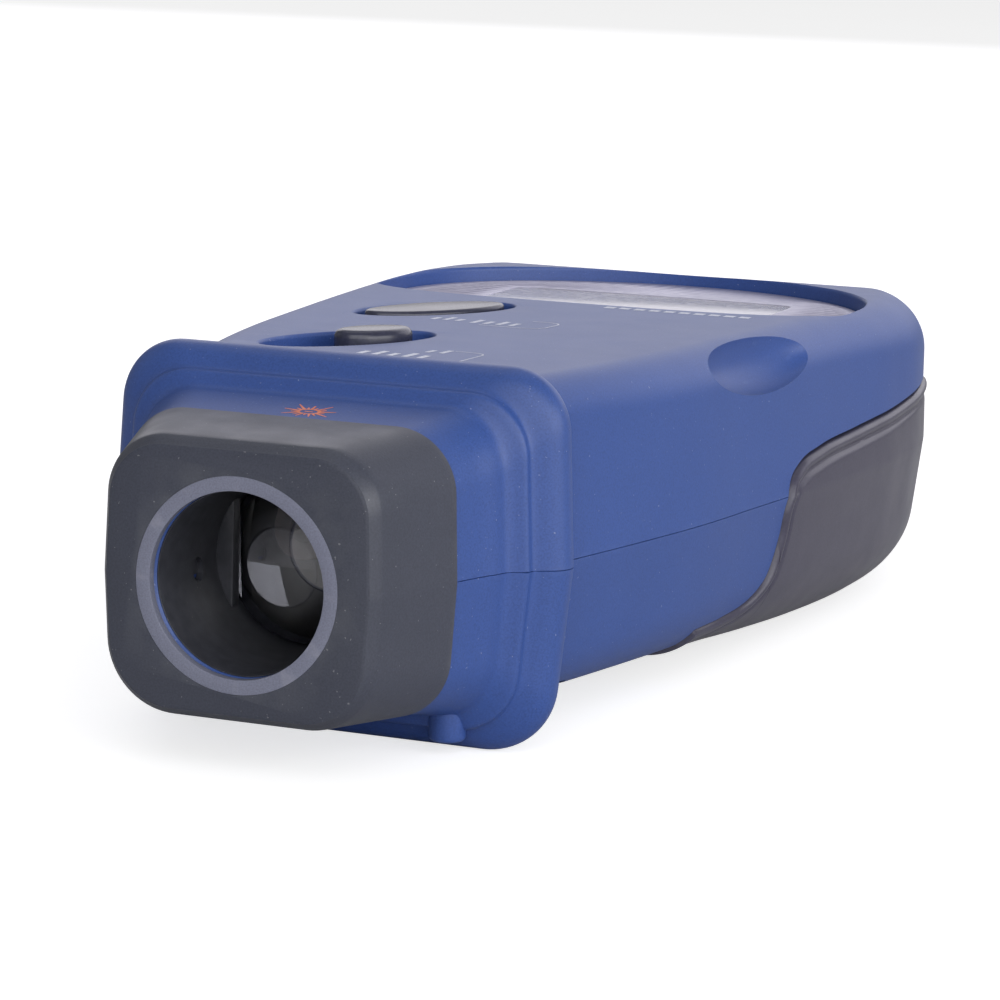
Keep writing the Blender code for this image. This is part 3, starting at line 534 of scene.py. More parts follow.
def parting_groove(sign):
    """Wedge that opens the joint between the two shells at the surface."""
    rings = []
    for back in spaced((12.6, 27.3, 0.5), (28.5, 183.0, 2.0)):
        half = (along_rows(NECK_ROWS, back) if back < 27.9 else body_row(back))[1]
        rings.append([place(sign * (half + x), back, up)
                      for x, up in ((0.3, 0.14), (-0.16, 0.006), (-0.16, -0.006), (0.3, -0.14))])
    return loft("parting_groove", rings)


def grip_seat(sign):
    """Room for a grip in the side of the housing."""
    layer = loft("grip_seat", seat_rings(-4.0))
    carve(layer, [loft("grip_core", seat_rings(GRIP_THICKNESS - GRIP_PROUD + GAP))])
    outline = grown_outline(smooth_outline(), GAP)
    edge = (GRIP_INNER_EDGE - GAP) * sign
    shape = bmesh.new()
    face = shape.faces.new([shape.verts.new(place(edge, back, up)) for back, up in outline])
    lifted = bmesh.ops.extrude_face_region(shape, geom=[face])["geom"]
    bmesh.ops.translate(shape, verts=[v for v in lifted if isinstance(v, bmesh.types.BMVert)],
                        vec=((BESIDE - abs(edge)) * sign * MM, 0.0, 0.0))
    bmesh.ops.triangulate(shape, faces=shape.faces)
    return carve(layer, [object_from("grip_outline", shape)], "INTERSECT")


def seat_rings(inset):
    stations = spaced((57.0, 178.0, 2.0), (178.0, 182.0, 0.8))
    return [section(body_row(back), inset, (10, 4, 1)) for back in stations]


def smooth_outline():
    """The grip's side outline with its upper edge drawn as one smooth curve."""
    knots = np.array(GRIP_OUTLINE[:-2])
    lengths = arc_lengths(knots)
    points = [tuple(cubic(knots, lengths, at)) for at in np.linspace(0.0, lengths[-1], 240)]
    return points + list(GRIP_OUTLINE[-2:])


def grown_outline(points, distance):
    """Clockwise outline moved outward by a distance."""
    array = [Vector(point) for point in points]
    grown = []
    for index, corner in enumerate(array):
        before = (corner - array[index - 1]).normalized()
        after = (array[(index + 1) % len(array)] - corner).normalized()
        first, second = (Vector((-way.y, way.x)) for way in (before, after))
        middle = (first + second).normalized()
        grown.append(tuple(corner + middle * distance / max(middle.dot(first), 0.3)))
    return grown


def shared_cuts():
    tools = [cavity(),
             on_axis("neck_bore", 2.6, 16.0, ((10.1, 0.0), (10.1, 13.4))),
             on_axis("neck_lip", -1.0, 4.0, ((9.75, 0.0), (9.75, 2.4), (9.45, 2.75), (9.45, 5.0)))]
    for sign in (1.0, -1.0):
        tools += [grip_seat(sign), parting_groove(sign)]
    return tools


def blank(*more):
    """Skin of the housing with the tube that carries the nose cap."""
    start, end = ((0.0, back, 0.0) for back in SLEEVE)
    return carve(skin(), [rod("neck_sleeve", start, end, RING_OUTER, FINE), *more], "UNION")


def upper_shell(blue):
    shell = blank()
    cuts = shared_cuts() + [
        box("below_parting", (-BESIDE, AHEAD, -BESIDE), (BESIDE, BEHIND, SEAM / 2.0)),
        finger_dish(1.0), finger_dish(-1.0),
        stacked("display_recess", recess_outline,
                pocket_levels(DISPLAY_FLOOR, TOP - 0.05, 0.7, 0.3)),
        over_window("display_opening", 1.5, 10.0, 20.0)]
    for centre in (SLIDER_POCKET, MEMORY_POCKET):
        cuts.append(stacked("key_pocket", lambda grow, c=centre: leaf(c, POCKET_SIZE, grow),
                            pocket_levels(POCKET_FLOOR, TOP + 0.02, 0.45, 0.7)))
    cuts += [plain(slanted_box(SLIDER_POCKET, SLOT_SIZE), 12.0, 20.0),
             plain(leaf(MEMORY_POCKET, MEMORY_CAP, GAP), 12.0, 20.0),
             plain(leaf(MEASURE_KEY, MEASURE_CAP, GAP, MEASURE_ANGLE), 6.0, 20.0)]
    carve(shell, cuts)
    shell.name = "upper_shell"
    return finished(shell, blue, ("upper_housing",))


def lower_shell(blue):
    shell = blank(*(boss(sign) for sign in (1.0, -1.0)))
    cuts = shared_cuts()
    cuts.append(box("above_parting", (-BESIDE, AHEAD, -SEAM / 2.0), (BESIDE, BEHIND, BESIDE)))
    for x, back in SCREW_PLACES:
        cuts.append(rod("screw_clear", (x, back, BELOW), (x, back, 1.0), SCREW_RADIUS))
        cuts.append(turned_between("counterbore", (x, back, BELOW), (x, back, 0.0), COUNTERBORE))
    cuts.append(box("door_opening", (-DOOR_HALF_WIDTH - GAP, DOOR_FRONT - GAP, BELOW),
                    (DOOR_HALF_WIDTH + GAP, BEHIND, DOOR_TOP + GAP)))
    carve(shell, cuts)
    shell.name = "lower_shell"
    return finished(shell, blue, ("lower_housing",))


def boss(sign):
    """Upright half-round boss under the neck, with a softly rounded foot."""
    x, back = BOSS_PLACE[0] * sign, BOSS_PLACE[1]
    profile = [(BOSS_RADIUS, 0.0)]
    profile += [(BOSS_RADIUS - BOSS_ROUND * (1.0 - cos(a)), 7.95 + BOSS_ROUND * sin(a))
                for a in QUARTER]
    return turned_between("neck_boss", (x, back, -10.0), (x, back, -18.5), profile, 48)


def door(blue):
    """Battery door: the belly between the grips, with a thumb notch and five grooves."""
    panel = carve(skin(), [box("door_block", (-DOOR_HALF_WIDTH, DOOR_FRONT, BELOW),
                               (DOOR_HALF_WIDTH, BEHIND, DOOR_TOP))], "INTERSECT")
    grooves = [box("door_notch", (-6.0, 134.0, BELOW), (6.0, 136.2, -19.1))]
    grooves += [box("door_groove", (-5.0, 139.0 + 1.6 * i, BELOW), (5.0, 139.7 + 1.6 * i, -19.15))
                for i in range(5)]
    carve(panel, grooves)
    panel.name = "door_panel"
    return finished(panel, blue, ("battery_door",), body="battery_door")


# ---- grips

# Distance from the grip's edge, and height over the housing's skin.
RIM_PROFILE = np.array((
    (0.0, -0.40), (0.12, 0.05), (0.30, 0.34), (0.50, 0.47), (0.75, 0.50), (1.00, 0.44),
    (1.25, 0.25), (1.45, 0.04), (1.65, -0.06), (1.85, 0.0), (2.10, 0.18), (2.40, 0.27),
    (3.0, 0.28), (6.0, 0.32), (60.0, 0.34)))
GRIP_ACROSS = 84          # points across the pad at each station
GRIP_CROWDING = 0.09      # how far they draw together at its two edges


def crossing(points, travel, index, axis, value):
    """Distance along a section to where it passes a value, just after one of its points."""
    here, there = points[index, axis], points[index + 1, axis]
    part = (here - value) / max(here - there, 1e-6)
    return travel[index] + part * (travel[index + 1] - travel[index])


def grip(sign, rubber):
    """Rubber pad on one side, with a raised rim that follows its outline and a soft inner ridge."""
    top_edge = np.array(smooth_outline()[:-2])
    front, rear = top_edge[0, 0], top_edge[:, 0].max()
    stations = spaced((front, 75.0, 0.5), (75.0, 84.0, 0.14), (84.0, 170.0, 0.9),
                      (170.0, rear, 0.22))
    tops = np.interp(stations, top_edge[:, 0], top_edge[:, 1])
    ground = np.zeros((len(stations), GRIP_ACROSS, 3))
    outward = np.zeros_like(ground)
    depth = np.zeros((len(stations), GRIP_ACROSS))
    for row, (back, top) in enumerate(zip(stations, tops)):
        base, raised = (np.array(half_section(body_row(back), inset, (40, 30, 30)))
                        for inset in (0.0, -1.0))
        travel = arc_lengths(base)
        side = base[:, 0] > GRIP_INNER_EDGE
        upper = max(i for i in range(len(base)) if base[i, 1] >= top and side[i])
        lower = max(i for i in range(len(base)) if side[i])
        start = crossing(base, travel, upper, 1, top)
        end = crossing(base, travel, lower, 0, GRIP_INNER_EDGE)
        share = np.linspace(0.0, 1.0, GRIP_ACROSS)
        share = share - GRIP_CROWDING * np.sin(TAU * share)
        at = start + share * (end - start)
        for axis in (0, 1):
            ground[row, :, axis * 2] = np.interp(at, travel, base[:, axis])
            outward[row, :, axis * 2] = np.interp(at, travel, raised[:, axis] - base[:, axis])
        ground[row, :, 1] = back
        ends = np.full(GRIP_ACROSS, min(back - front, rear - back) + 1e-3)
        depth[row] = np.minimum.reduce((nearest(ground[row][:, [1, 2]], top_edge), end - at, ends))
    lift = np.interp(depth, RIM_PROFILE[:, 0], RIM_PROFILE[:, 1])
    shape = bmesh.new()
    layers = []
    for offset in (lift, np.full_like(lift, GRIP_PROUD - GRIP_THICKNESS)):
        solid = ground + outward * offset[:, :, None]
        solid[:, :, 2] = np.maximum(solid[:, :, 2], BELLY - GRIP_PROUD)
        layers.append([[shape.verts.new(place(sign * x, back, up)) for x, back, up in row]
                       for row in solid])
    last, edge = len(stations) - 1, GRIP_ACROSS - 1
    for layer in layers:
        wrap(shape, layer, ring=False)
    border = ([(0, j) for j in range(edge)] + [(i, edge) for i in range(last)]
              + [(last, j) for j in range(edge, 0, -1)] + [(i, 0) for i in range(last, 0, -1)])
    wrap(shape, [[layer[i][j] for i, j in border] for layer in layers])
    side_name = "right" if sign > 0.0 else "left"
    pad = object_from("grip_pad_" + side_name, shape)
    return finished(pad, rubber, ("grip_" + side_name,), 50.0)


def nearest(points, line):
    """Distance from each point to a polyline."""
    best = np.full(len(points), 1e9)
    for a, b in zip(line, line[1:]):
        along = b - a
        t = np.clip(((points - a) @ along) / max(along @ along, 1e-12), 0.0, 1.0)
        best = np.minimum(best, np.linalg.norm(points - a - t[:, None] * along, axis=1))
    return best


# ---- nose and optics

def nose_cap(dark):
    rings = []
    for start, end in zip(CAP_ROWS, CAP_ROWS[1:]):
        steps = 2 if end[0] < 1.8 else 14
        for step in range(steps):
            start, end = np.array(start), np.array(end)
            rings.append(section(start + (end - start) * step / steps))
    cap = loft("cap", rings + [section(CAP_ROWS[-1])])
    inside = [section(row, CAP_WALL, (6, 2, 1))
              for row in ((1.9, *CAP_ROWS[3][1:]), (CAP_REAR + 0.6, *CAP_ROWS[4][1:]))]
    hole = on_axis("cap_hole", -2.0, 4.0, ((RING_OUTER + 0.01, 0.0), (RING_OUTER + 0.01, 6.0)))
    carve(cap, [loft("cap_inside", inside), hole])
    return finished(cap, dark, ("nose_cap",), 24.0)


def aperture_ring(grey):
    profile = softened(((RING_INNER, 0.0), (RING_INNER, RING_DEPTH), (RING_OUTER, RING_DEPTH),
                        (RING_OUTER, 0.0)), 0.05)
    ring = tube("front_ring", profile)
    return finished(ring, grey, ("aperture_ring",), 60.0)


def barrel(black):
    profile = ((BORE_RADIUS, 1.75), (BORE_RADIUS, 22.0), (10.9, 22.0), (10.9, 17.2), (12.2, 17.2),
               (12.2, 14.8), (10.0, 14.8), (10.0, 3.0), (9.42, 3.0), (9.42, 1.75))
    wall = tube("barrel_wall", softened(profile, 0.05))
    height = sqrt(BORE_RADIUS**2 - SHELF_EDGE**2)
    first = atan2(height, SHELF_EDGE)
    arc = [((BORE_RADIUS + 0.25) * cos(a), (BORE_RADIUS + 0.25) * sin(a))
           for a in np.linspace(first, TAU - first, 30)]
    shelf = loft("shelf", [[place(x, back, up) for x, up in arc]
                           for back in (BULKHEAD, BULKHEAD + 1.5)])
    add_bevel(shelf, 0.08)
    carve(wall, [shelf], "UNION")
    carve(wall, [turned_between("side_hole", (-14.0, 10.6, -1.0), (-6.0, 10.6, -1.0),
                                ((1.2, 4.15), (1.2, 4.8), (1.35, 5.2), (1.35, 8.0)))])
    return finished(wall, black, ("lens_barrel",))


LENS_RADIUS = 9.0
LENS_CURVE = 32.0         # radius of its front face


def lens(glass):
    """Bi-convex objective with a flat against the shelf."""
    profile = [(radius, BULKHEAD + 0.6 + LENS_CURVE - sqrt(LENS_CURVE**2 - radius**2))
               for radius in np.linspace(0.02, LENS_RADIUS, 40)]
    profile.append((LENS_RADIUS, BULKHEAD + 3.6))
    profile += [(radius, BULKHEAD + 4.4 - (radius / LENS_RADIUS)**2 * 0.8)
                for radius in np.linspace(LENS_RADIUS, 0.02, 30)]
    body = loft("front_lens", [[around(radius, back, i / FINE) for i in range(FINE)]
                               for radius, back in profile])
    carve(body, [box("lens_flat", (-BESIDE, BULKHEAD - 2.0, -12.0),
                     (SHELF_EDGE + 0.2, BULKHEAD + 1.8, 12.0))])
    return finished(body, glass, ("objective_lens",))


# ---- display

RIPPLE_PITCH = 1.9
RIPPLE_HEIGHT = 0.22
WINDOW_SQUARENESS = 14    # power of the rounded rectangle round the window


def ripple(x, back):
    """Height of the moulded lines on the bezel: arcs on the left, straight lines on the right."""
    arcs = sin(TAU * hypot(x + 27.0, back - 142.0) / RIPPLE_PITCH)
    lines = sin(TAU * (back + 0.08 * x) / RIPPLE_PITCH)
    left = 1.0 / (1.0 + exp((x + 2.0) / 3.0))
    right = 1.0 / (1.0 + exp((21.0 - x) / 2.0))
    return RIPPLE_HEIGHT * (arcs * left + lines * right)


def bezel(silver):
    """Silver surround of the display, lofted between its window and the recess."""
    outer = np.array(recess_outline(-GAP, 360))
    middle = np.array((0.0, (WINDOW_FRONT + WINDOW_REAR) / 2.0))
    half = np.array((WINDOW_HALF_WIDTH, (WINDOW_REAR - WINDOW_FRONT) / 2.0))
    inner = []
    for point in outer:
        ray = point - middle
        power = sum((np.abs(ray) / half)**WINDOW_SQUARENESS)
        inner.append(middle + ray / power**(1.0 / WINDOW_SQUARENESS))
    inner = np.array(inner)
    low, rim = ([up] * len(outer) for up in (DISPLAY_FLOOR + GAP, BEZEL_TOP - 0.35))
    levels = [(inner, low), (inner, rim)]
    for part in np.linspace(0.0, 1.0, 45):
        ring = inner + (outer - inner) * (0.012 + 0.976 * part)
        fade = min(1.0, 4.0 * part, 4.0 * (1.0 - part))
        levels.append((ring, [BEZEL_TOP - 0.18 + fade * ripple(*point) for point in ring]))
    levels += [(outer, rim), (outer, low)]
    shape = bmesh.new()
    wrap(shape, [[shape.verts.new(place(*point, up)) for point, up in zip(*level)]
                 for level in levels], closed=True)
    piece = object_from("bezel", shape)
    return finished(piece, silver, ("display_bezel",), 50.0)


def window(clear):
    pane = over_window("window_pane", -0.04, PANE_BOTTOM, BEZEL_TOP - 0.24, 0.03)
    return finished(pane, clear, ("display_window",))


def cell(glass):
    """Liquid crystal cell close under the window."""
    piece = over_window("display_cell", 0.5, 11.4, PANE_BOTTOM - 0.1, 0.1)
    return finished(piece, glass, ("lcd_glass",))


# ---- keys

def mode_slider(gloss):
    """Glossy oval knob on a stem."""
    rest = slanted(SLIDER_POCKET, SLIDER_REST)
    knob = stacked("slider_knob", lambda grow: leaf(rest, KNOB_SIZE, grow),
                   key_levels(POCKET_FLOOR + GAP, 19.5, 0.9))
    carve(knob, [plain(slanted_box(rest, STEM_SIZE), 11.4, 17.0)], "UNION")
    return finished(knob, gloss, ("mode_slider",), body="mode_slider")


def memory_key(gloss):
    cap = stacked("memory_cap", lambda grow: leaf(MEMORY_POCKET, MEMORY_CAP, grow),
                  key_levels(13.4, 18.8, 0.5))
    carve(cap, [plain(leaf(MEMORY_POCKET, MEMORY_SKIRT), 13.0, 14.1)], "UNION")
    return finished(cap, gloss, ("memory_key",), body="memory_key")


def measure_key(rubber):
    """Soft oval key with a shallow finger dish."""
    dish = [(-2.2, 12.34), (-3.2, 12.2), (-4.6, 12.05)]
    cap = stacked("measure_cap", lambda grow: leaf(MEASURE_KEY, MEASURE_CAP, grow, MEASURE_ANGLE),
                  key_levels(6.6, 12.4, 0.8) + dish)
    skirt = leaf(MEASURE_KEY, MEASURE_SKIRT, 0.0, MEASURE_ANGLE)
    carve(cap, [plain(skirt, 6.4, 7.4)], "UNION")
    return finished(cap, rubber, ("measure_key",), body="measure_key")


# ---- printed marks

INK_LIFT = 0.02
BURST_CENTRE = (0.5, 15.5)
BURST_RAYS = 18


def printed(name, quads, surface, mat):
    """Ink of plan quads, each cut into a fine grid and laid on the surface below it."""
    shape = bmesh.new()
    for corners in quads:
        a, b, c, d = (np.array(corner) for corner in corners)
        long_steps = max(2, int(np.linalg.norm(b - a) / 0.25))
        grid = []
        for u in np.linspace(0.0, 1.0, long_steps + 1):
            row = []
            for v in (0.0, 0.5, 1.0):
                x, back = (a + (b - a) * u) * (1.0 - v) + (d + (c - d) * u) * v
                hit = surface.ray_cast(place(x, back, 30.0), Vector((0.0, 0.0, -1.0)))[0]
                row.append(shape.verts.new(hit + Vector((0.0, 0.0, INK_LIFT * MM))))
            grid.append(row)
        wrap(shape, grid, ring=False)
    return finished(object_from(name, shape), mat)


def stroke(start, end, width, end_width=None):
    """Quad along a line, which may taper."""
    start, end = np.array(start), np.array(end)
    along = unit(end - start)
    side = np.array((-along[1], along[0]))
    end_width = width if end_width is None else end_width
    return (start + side * width / 2.0, end + side * end_width / 2.0,
            end - side * end_width / 2.0, start - side * width / 2.0)


def starburst():
    """Plain laser burst: a short dash between tapered rays."""
    centre = np.array(BURST_CENTRE)
    quads = [stroke(centre + (-0.45, 0.0), centre + (0.45, 0.0), 0.22)]
    for i in range(BURST_RAYS):
        a = TAU * (i + 0.5) / BURST_RAYS
        direction = np.array((cos(a), sin(a)))
        reach = (2.9, 1.9)[i % 2] if abs(direction[0]) > 0.45 else (2.1, 1.5)[i % 2]
        inner = centre + direction * (0.95, 0.60)
        outer = centre + direction * (reach, reach * 0.86)
        quads.append(stroke(inner, outer, 0.36, 0.12))
    return quads


def bracket(corner, run, rise):
    """Thin line that leads from a key to its label, with a rounded end."""
    x, back = corner
    far = back + rise
    points = [(x - run, back), (x - 1.4, back), (x - 0.5, back + 0.5), (x, back + 1.5),
              (x + 0.3, far - 1.4), (x - 0.1, far - 0.4), (x - 1.2, far), (x - 3.4, far)]
    return [stroke(a, b, 0.22) for a, b in zip(points, points[1:])]


def bar_label(start, heights, pitch, width=0.7):
    """Row of plain bars, in place of words."""
    x, back = start
    return [stroke((x + i * pitch, back), (x + i * pitch + 0.25, back + height), width)
            for i, height in enumerate(heights)]


def marks(surface, white, orange):
    printed("laser_burst", starburst(), surface, orange)
    slider = bar_label((-3.8, 37.2), (2.8, 3.8, 2.8, 3.8, 2.8), 1.75, 0.75)
    slider += bar_label((2.2, 42.6), (1.9, 2.6), 1.6, 0.62) + bracket((8.0, 36.6), 2.6, 8.4)
    printed("slider_label", slider, surface, white)
    memory = bar_label((-8.6, 70.6), (1.8, 2.8, 1.8), 1.5)
    memory += bar_label((-3.4, 69.8), (3.2, 2.4, 3.2, 2.4), 1.6) + bracket((5.6, 68.6), 7.6, 6.6)
    printed("memory_label", memory, surface, white)
    ticks = [stroke((4.6 + 1.9 * i, 93.9), (5.9 + 1.9 * i, 93.9), 1.5) for i in range(10)]
    printed("scale_ticks", ticks, surface, white)


# ---- materials

class Surface:
    """Node material built up a layer at a time around one Principled shader."""

    def __init__(self, name, **constants):
        self.material = bpy.data.materials.new(name)
        self.material.use_nodes = True
        self.tree = self.material.node_tree
        self.shader = self.tree.nodes["Principled BSDF"]
        for key, value in constants.items():
            self.shader.inputs[key.replace("_", " ")].default_value = value
        self.space = self.node("ShaderNodeTexCoord").outputs["Object"]
        self.height = None

    def node(self, kind, values=None, **settings):
        made = self.tree.nodes.new(kind)
        for key, value in settings.items():
            setattr(made, key, value)
        for key, value in (values or {}).items():
            made.inputs[key].default_value = value
        return made

    def link(self, start, end):
        self.tree.links.new(start, end)

    def noise(self, size, detail=3.0, rough=0.5):
        """Noise whose features are about size millimetres across."""
        made = self.node("ShaderNodeTexNoise", {
            "Scale": 1.0 / (size * MM), "Detail": detail, "Roughness": rough})
        self.link(self.space, made.inputs["Vector"])
        return made.outputs["Fac"]

    def ranged(self, value, low, high, start=0.0, end=1.0):
        made = self.node("ShaderNodeMapRange", {
            "From Min": low, "From Max": high, "To Min": start, "To Max": end})
        self.link(value, made.inputs["Value"])
        return made.outputs["Result"]

    def mixed(self, factor, first, second):
        made = self.node("ShaderNodeMix", data_type="RGBA")
        self.link(factor, made.inputs["Factor"])
        for socket, value in ((made.inputs["A"], first), (made.inputs["B"], second)):
            if isinstance(value, tuple):
                socket.default_value = (*value, 1.0)
            else:
                self.link(value, socket)
        return made.outputs["Result"]

    def drift(self, size, dark, colour, low=0.3, high=0.7, detail=3.0):
        """Colour that wanders between two close tones."""
        return self.mixed(self.ranged(self.noise(size, detail), low, high), dark, colour)

    def colour(self, value):
        self.link(value, self.shader.inputs["Base Color"])

    def sheen(self, size, start, end, low=0.3, high=0.7):
        """Roughness that wanders between two values."""
        value = self.ranged(self.noise(size), low, high, start, end)
        self.link(value, self.shader.inputs["Roughness"])

    def bump(self, value, strength, distance):
        """Stack another bump layer; distance in millimetres."""
        made = self.node("ShaderNodeBump", {"Strength": strength, "Distance": distance * MM})
        self.link(value, made.inputs["Height"])
        if self.height is not None:
            self.link(self.height, made.inputs["Normal"])
        self.height = made.outputs["Normal"]
        self.link(self.height, self.shader.inputs["Normal"])

    def worn(self, colour, wear):
        """Lighten convex edges, unevenly."""
        edges = self.node("ShaderNodeNewGeometry").outputs["Pointiness"]
        amount = self.ranged(edges, 0.52, 0.60, 0.0, 0.5)
        uneven = self.node("ShaderNodeMath", operation="MULTIPLY")
        self.link(amount, uneven.inputs[0])
        self.link(self.ranged(self.noise(3.0), 0.35, 0.65), uneven.inputs[1])
        return self.mixed(uneven.outputs["Value"], colour, wear)

    def specks(self, colour, speck):
        """Sparse pale dust."""
        dots = self.ranged(self.noise(0.36, 1.0), 0.765, 0.785, 0.0, 0.40)
        return self.mixed(dots, colour, speck)


def moulded(name, colour, dark, roughness, grain=0.16, grain_depth=0.012, wear=None, dust=None,
            roughness_spread=0.05):
    """Moulded plastic or rubber: slow colour drift, fine moulded grain and uneven sheen."""
    made = Surface(name)
    drift = made.mixed(made.ranged(made.noise(14.0), 0.35, 0.65, 0.4, 1.0), dark, colour)
    deep = tuple(0.6 * value for value in dark)
    fine = made.mixed(made.ranged(made.noise(grain * 1.5, 2.0), 0.35, 0.7, 0.0, 0.5), drift, deep)
    if wear:
        fine = made.worn(fine, wear)
    if dust:
        fine = made.specks(fine, dust)
    made.colour(fine)
    made.sheen(5.0, roughness - roughness_spread, roughness + roughness_spread)
    made.bump(made.noise(grain, 2.0, 0.6), 0.6, grain_depth)
    return made.material


def even(name, size, dark, colour, sheen_size, sheen, band=(0.3, 0.7), **constants):
    """Surface that wanders between two close tones, with an uneven sheen."""
    made = Surface(name, **constants)
    made.colour(made.drift(size, dark, colour))
    made.sheen(sheen_size, *sheen, *band)
    return made


def brushed_silver():
    made = Surface("bezel_silver", Metallic=0.35)
    base = made.drift(9.0, (0.32, 0.31, 0.43), (0.37, 0.36, 0.48))
    made.colour(made.worn(base, (0.75, 0.75, 0.82)))
    made.sheen(1.2, 0.30, 0.42)
    made.bump(made.noise(0.2, 2.0), 0.3, 0.006)
    return made.material


def metal(name, colour, dark, roughness):
    made = even(name, 1.4, dark, colour, 0.8, (roughness - 0.06, roughness + 0.10), Metallic=1.0)
    made.bump(made.noise(0.3, 2.0), 0.2, 0.005)
    return made.material


def circuit_board():
    made = Surface("board_green")
    cells = made.node("ShaderNodeTexVoronoi", {"Scale": 420.0}, feature="DISTANCE_TO_EDGE")
    made.link(made.space, cells.inputs["Vector"])
    tracks = made.ranged(cells.outputs["Distance"], 0.04, 0.07)
    made.colour(made.mixed(tracks, (0.05, 0.24, 0.10), (0.02, 0.14, 0.06)))
    made.sheen(2.0, 0.30, 0.42)
    made.bump(tracks, 0.2, 0.03)
    return made.material


def ink(name, colour, dark):
    """Printed ink: slightly uneven cover and a fine rough surface."""
    made = Surface(name)
    made.colour(made.drift(0.35, dark, colour, 0.35, 0.65, 2.0))
    made.sheen(0.5, 0.45, 0.60)
    made.bump(made.noise(0.15, 2.0), 0.3, 0.006)
    return made.material


def looks():
    """Materials by the slot of the record that each one fills."""
    return {
        "blue_plastic": moulded(
            "blue_shell", (0.035, 0.082, 0.295), (0.031, 0.075, 0.272), 0.44, grain=0.14,
            wear=(0.07, 0.12, 0.32), dust=(0.35, 0.40, 0.55), roughness_spread=0.01),
        "dark_plastic": moulded(
            "cap_plastic", (0.050, 0.055, 0.079), (0.043, 0.048, 0.069), 0.42, grain=0.14,
            wear=(0.11, 0.115, 0.13), dust=(0.30, 0.30, 0.32)),
        "grip_rubber": moulded(
            "grip_pad", (0.056, 0.053, 0.084), (0.051, 0.048, 0.077), 0.32, grain=0.2,
            wear=(0.12, 0.12, 0.16), roughness_spread=0.03),
        "key_rubber": moulded(
            "key_rubber", (0.045, 0.045, 0.052), (0.034, 0.034, 0.040), 0.6, grain=0.2),
        "ring_grey": moulded(
            "ring_plastic", (0.19, 0.20, 0.270), (0.17, 0.18, 0.245), 0.42, grain=0.12,
            wear=(0.30, 0.30, 0.36)),
        "barrel_black": moulded(
            "barrel_black", (0.050, 0.052, 0.064), (0.036, 0.038, 0.047), 0.34, grain=0.9,
            grain_depth=0.02, dust=(0.20, 0.18, 0.16)),
        "white_plastic": moulded("white_plastic", (0.72, 0.72, 0.70), (0.62, 0.62, 0.60), 0.5),
        "battery_wrap": moulded("battery_wrap", (0.38, 0.36, 0.12), (0.30, 0.28, 0.09), 0.35),
        "lead_red": moulded("lead_red", (0.50, 0.03, 0.02), (0.40, 0.02, 0.015), 0.45),
        "lead_black": moulded("lead_black", (0.03, 0.03, 0.03), (0.02, 0.02, 0.02), 0.45),
        # Clear glass over the dark bore, with a faint, uneven coating.
        "lens_glass": even(
            "lens_glass", 6.0, (0.48, 0.48, 0.54), (0.54, 0.55, 0.62), 1.5, (0.0, 0.03),
            (0.55, 0.8), Transmission_Weight=1.0, IOR=2.2).material,
        "window_clear": even(
            "window_clear", 8.0, (0.60, 0.60, 0.70), (0.66, 0.66, 0.76), 2.0, (0.20, 0.27),
            (0.5, 0.8), Transmission_Weight=0.4, IOR=1.49).material,
        "lcd_glass": even(
            "lcd_glass", 7.0, (0.42, 0.42, 0.49), (0.48, 0.48, 0.55), 1.0, (0.10, 0.18)).material,
        "bezel_silver": brushed_silver(),
        "board_green": circuit_board(),
        "laser_brass": metal("laser_brass", (0.26, 0.22, 0.17), (0.18, 0.15, 0.12), 0.35),
        "steel": metal("steel", (0.66, 0.66, 0.68), (0.50, 0.50, 0.52), 0.28)}


# ---- studio

CAMERA_PLACE = Vector((0.139805, -0.387510, 0.086445))
CAMERA_RIGHT = Vector((0.932286, 0.360415, 0.030734))
CAMERA_UP = Vector((-0.090551, 0.150278, 0.984488))
CAMERA_LENS = 122.4
SENSOR_WIDTH = 36.0
WORLD_STRENGTH = 0.24
FLOOR_SIZE = 6.0
FLOOR_GLOW = 0.70
LIGHT_TARGET = Vector((0.0, 0.0, 0.02))
# Name, place, width, height, radiance (1 looks as bright as white paper) and any tint.
SOFTBOXES = (
    ("back", (0.0, 1.6, 0.80), 3.2, 1.2, 1.26, (0.95, 0.93, 1.0)),
    ("right", (1.45, -0.3, 0.42), 1.3, 0.8, 3.3),
    ("top", (-0.2, 0.3, 1.5), 1.1, 1.0, 0.62),
    ("left", (-1.5, -0.2, 0.8), 1.0, 0.9, 0.2),
    ("front", (0.82, -1.42, 0.80), 2.0, 1.8, 2.2, (0.98, 0.98, 1.0)))


def camera():
    data = bpy.data.cameras.new("camera")
    data.lens = CAMERA_LENS
    data.sensor_width = SENSOR_WIDTH
    data.clip_start = 0.01
    made = linked("camera", data)
    backward = CAMERA_RIGHT.cross(CAMERA_UP)
    turn = Matrix((CAMERA_RIGHT, CAMERA_UP, backward)).transposed().to_4x4()
    made.matrix_world = Matrix.Translation(CAMERA_PLACE) @ turn
    bpy.context.scene.camera = made


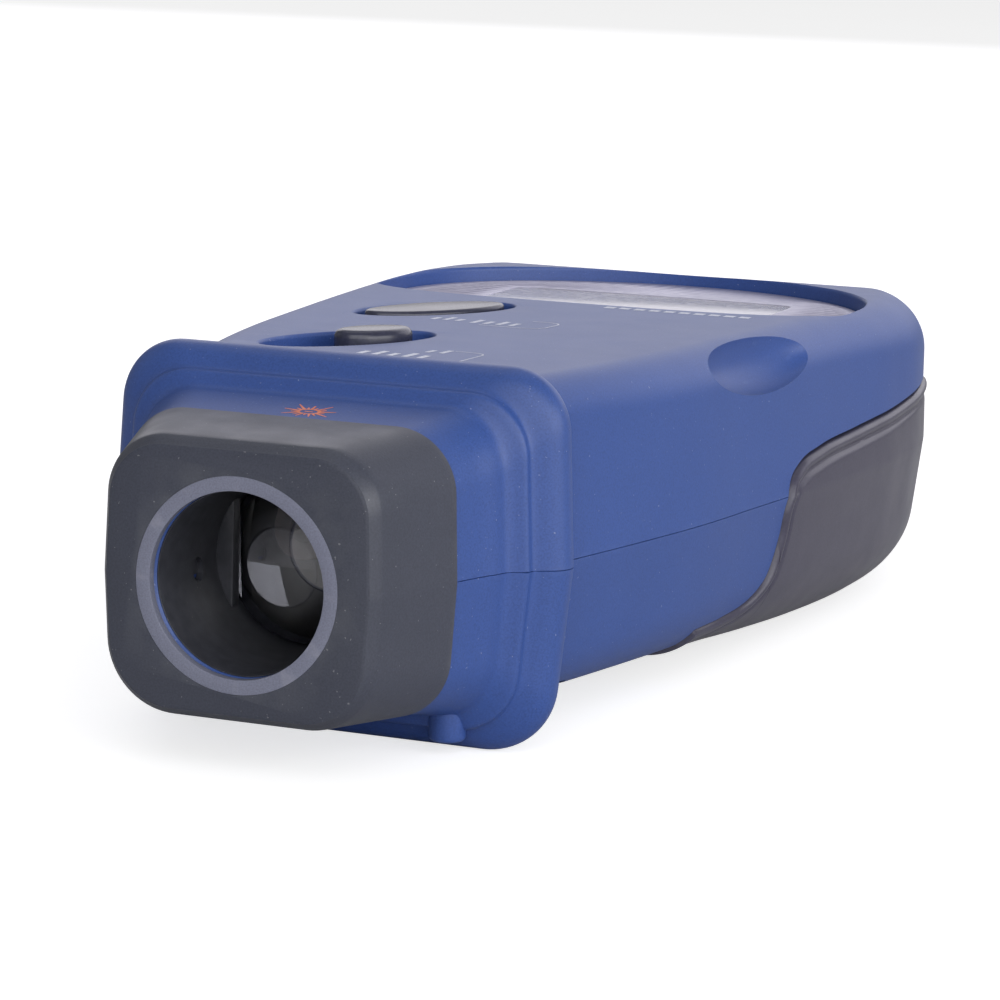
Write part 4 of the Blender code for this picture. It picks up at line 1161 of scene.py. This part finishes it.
def floor():
    """White floor that also glows, but only to the camera."""
    shape = bmesh.new()
    bmesh.ops.create_grid(shape, x_segments=8, y_segments=8, size=FLOOR_SIZE)
    made = object_from("studio_floor", shape)
    paper = Surface("floor_white", Specular_IOR_Level=0.1, Roughness=0.9)
    paper.colour(paper.drift(400.0, (0.60, 0.60, 0.605), (0.62, 0.62, 0.625)))
    light = paper.node("ShaderNodeEmission", {"Strength": FLOOR_GLOW})
    seen = paper.node("ShaderNodeLightPath").outputs["Is Camera Ray"]
    glow = paper.node("ShaderNodeMixShader")
    both = paper.node("ShaderNodeAddShader")
    paper.link(seen, glow.inputs["Fac"])
    paper.link(light.outputs["Emission"], glow.inputs[2])
    paper.link(paper.shader.outputs["BSDF"], both.inputs[0])
    paper.link(glow.outputs["Shader"], both.inputs[1])
    paper.link(both.outputs["Shader"], paper.tree.nodes["Material Output"].inputs["Surface"])
    made.data.materials.append(paper.material)


def softbox(name, spot, width, height, radiance, tint=(1.0, 1.0, 1.0)):
    """Rectangular light aimed at the object."""
    data = bpy.data.lights.new(name, "AREA")
    data.shape = "RECTANGLE"
    data.size = width
    data.size_y = height
    data.energy = radiance * pi * width * height
    data.color = tint
    made = linked(name, data)
    made.location = spot
    made.rotation_euler = (LIGHT_TARGET - Vector(spot)).to_track_quat("-Z", "Y").to_euler()
    made.visible_camera = False


def studio():
    world = bpy.data.worlds.new("studio")
    world.use_nodes = True
    background = world.node_tree.nodes["Background"]
    background.inputs["Color"].default_value = (1.0, 1.0, 1.0, 1.0)
    background.inputs["Strength"].default_value = WORLD_STRENGTH
    bpy.context.scene.world = world
    for settings in SOFTBOXES:
        softbox(*settings)
    floor()
    camera()
    bpy.context.scene.view_settings.view_transform = "Standard"


# ---- the object

def dress_frame(made):
    """Give every CAD node that stays its material, by the slot that the record names for it."""
    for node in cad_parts.values():
        slot = node.data.materials[0].name.split(".")[0]
        node.material_slots[0].material = made[slot]


def build():
    made = looks()
    blue = made["blue_plastic"]
    gloss = moulded("key_gloss", (0.036, 0.038, 0.068), (0.030, 0.032, 0.058), 0.26, grain=0.3,
                    grain_depth=0.002, roughness_spread=0.01)
    white = ink("white_ink", (0.66, 0.69, 0.80), (0.50, 0.53, 0.66))
    orange = ink("orange_ink", (0.80, 0.24, 0.12), (0.62, 0.18, 0.10))

    shell = upper_shell(blue)
    surface = BVHTree.FromObject(shell, bpy.context.evaluated_depsgraph_get())
    lower_shell(blue)
    door(blue)
    for sign in (1.0, -1.0):
        grip(sign, made["grip_rubber"])
    nose_cap(made["dark_plastic"])
    aperture_ring(made["ring_grey"])
    barrel(made["barrel_black"])
    lens(made["lens_glass"])
    bezel(made["bezel_silver"])
    window(made["window_clear"])
    cell(made["lcd_glass"])
    mode_slider(gloss)
    memory_key(gloss)
    measure_key(made["key_rubber"])
    marks(surface, white, orange)
    dress_frame(made)
    studio()


build()
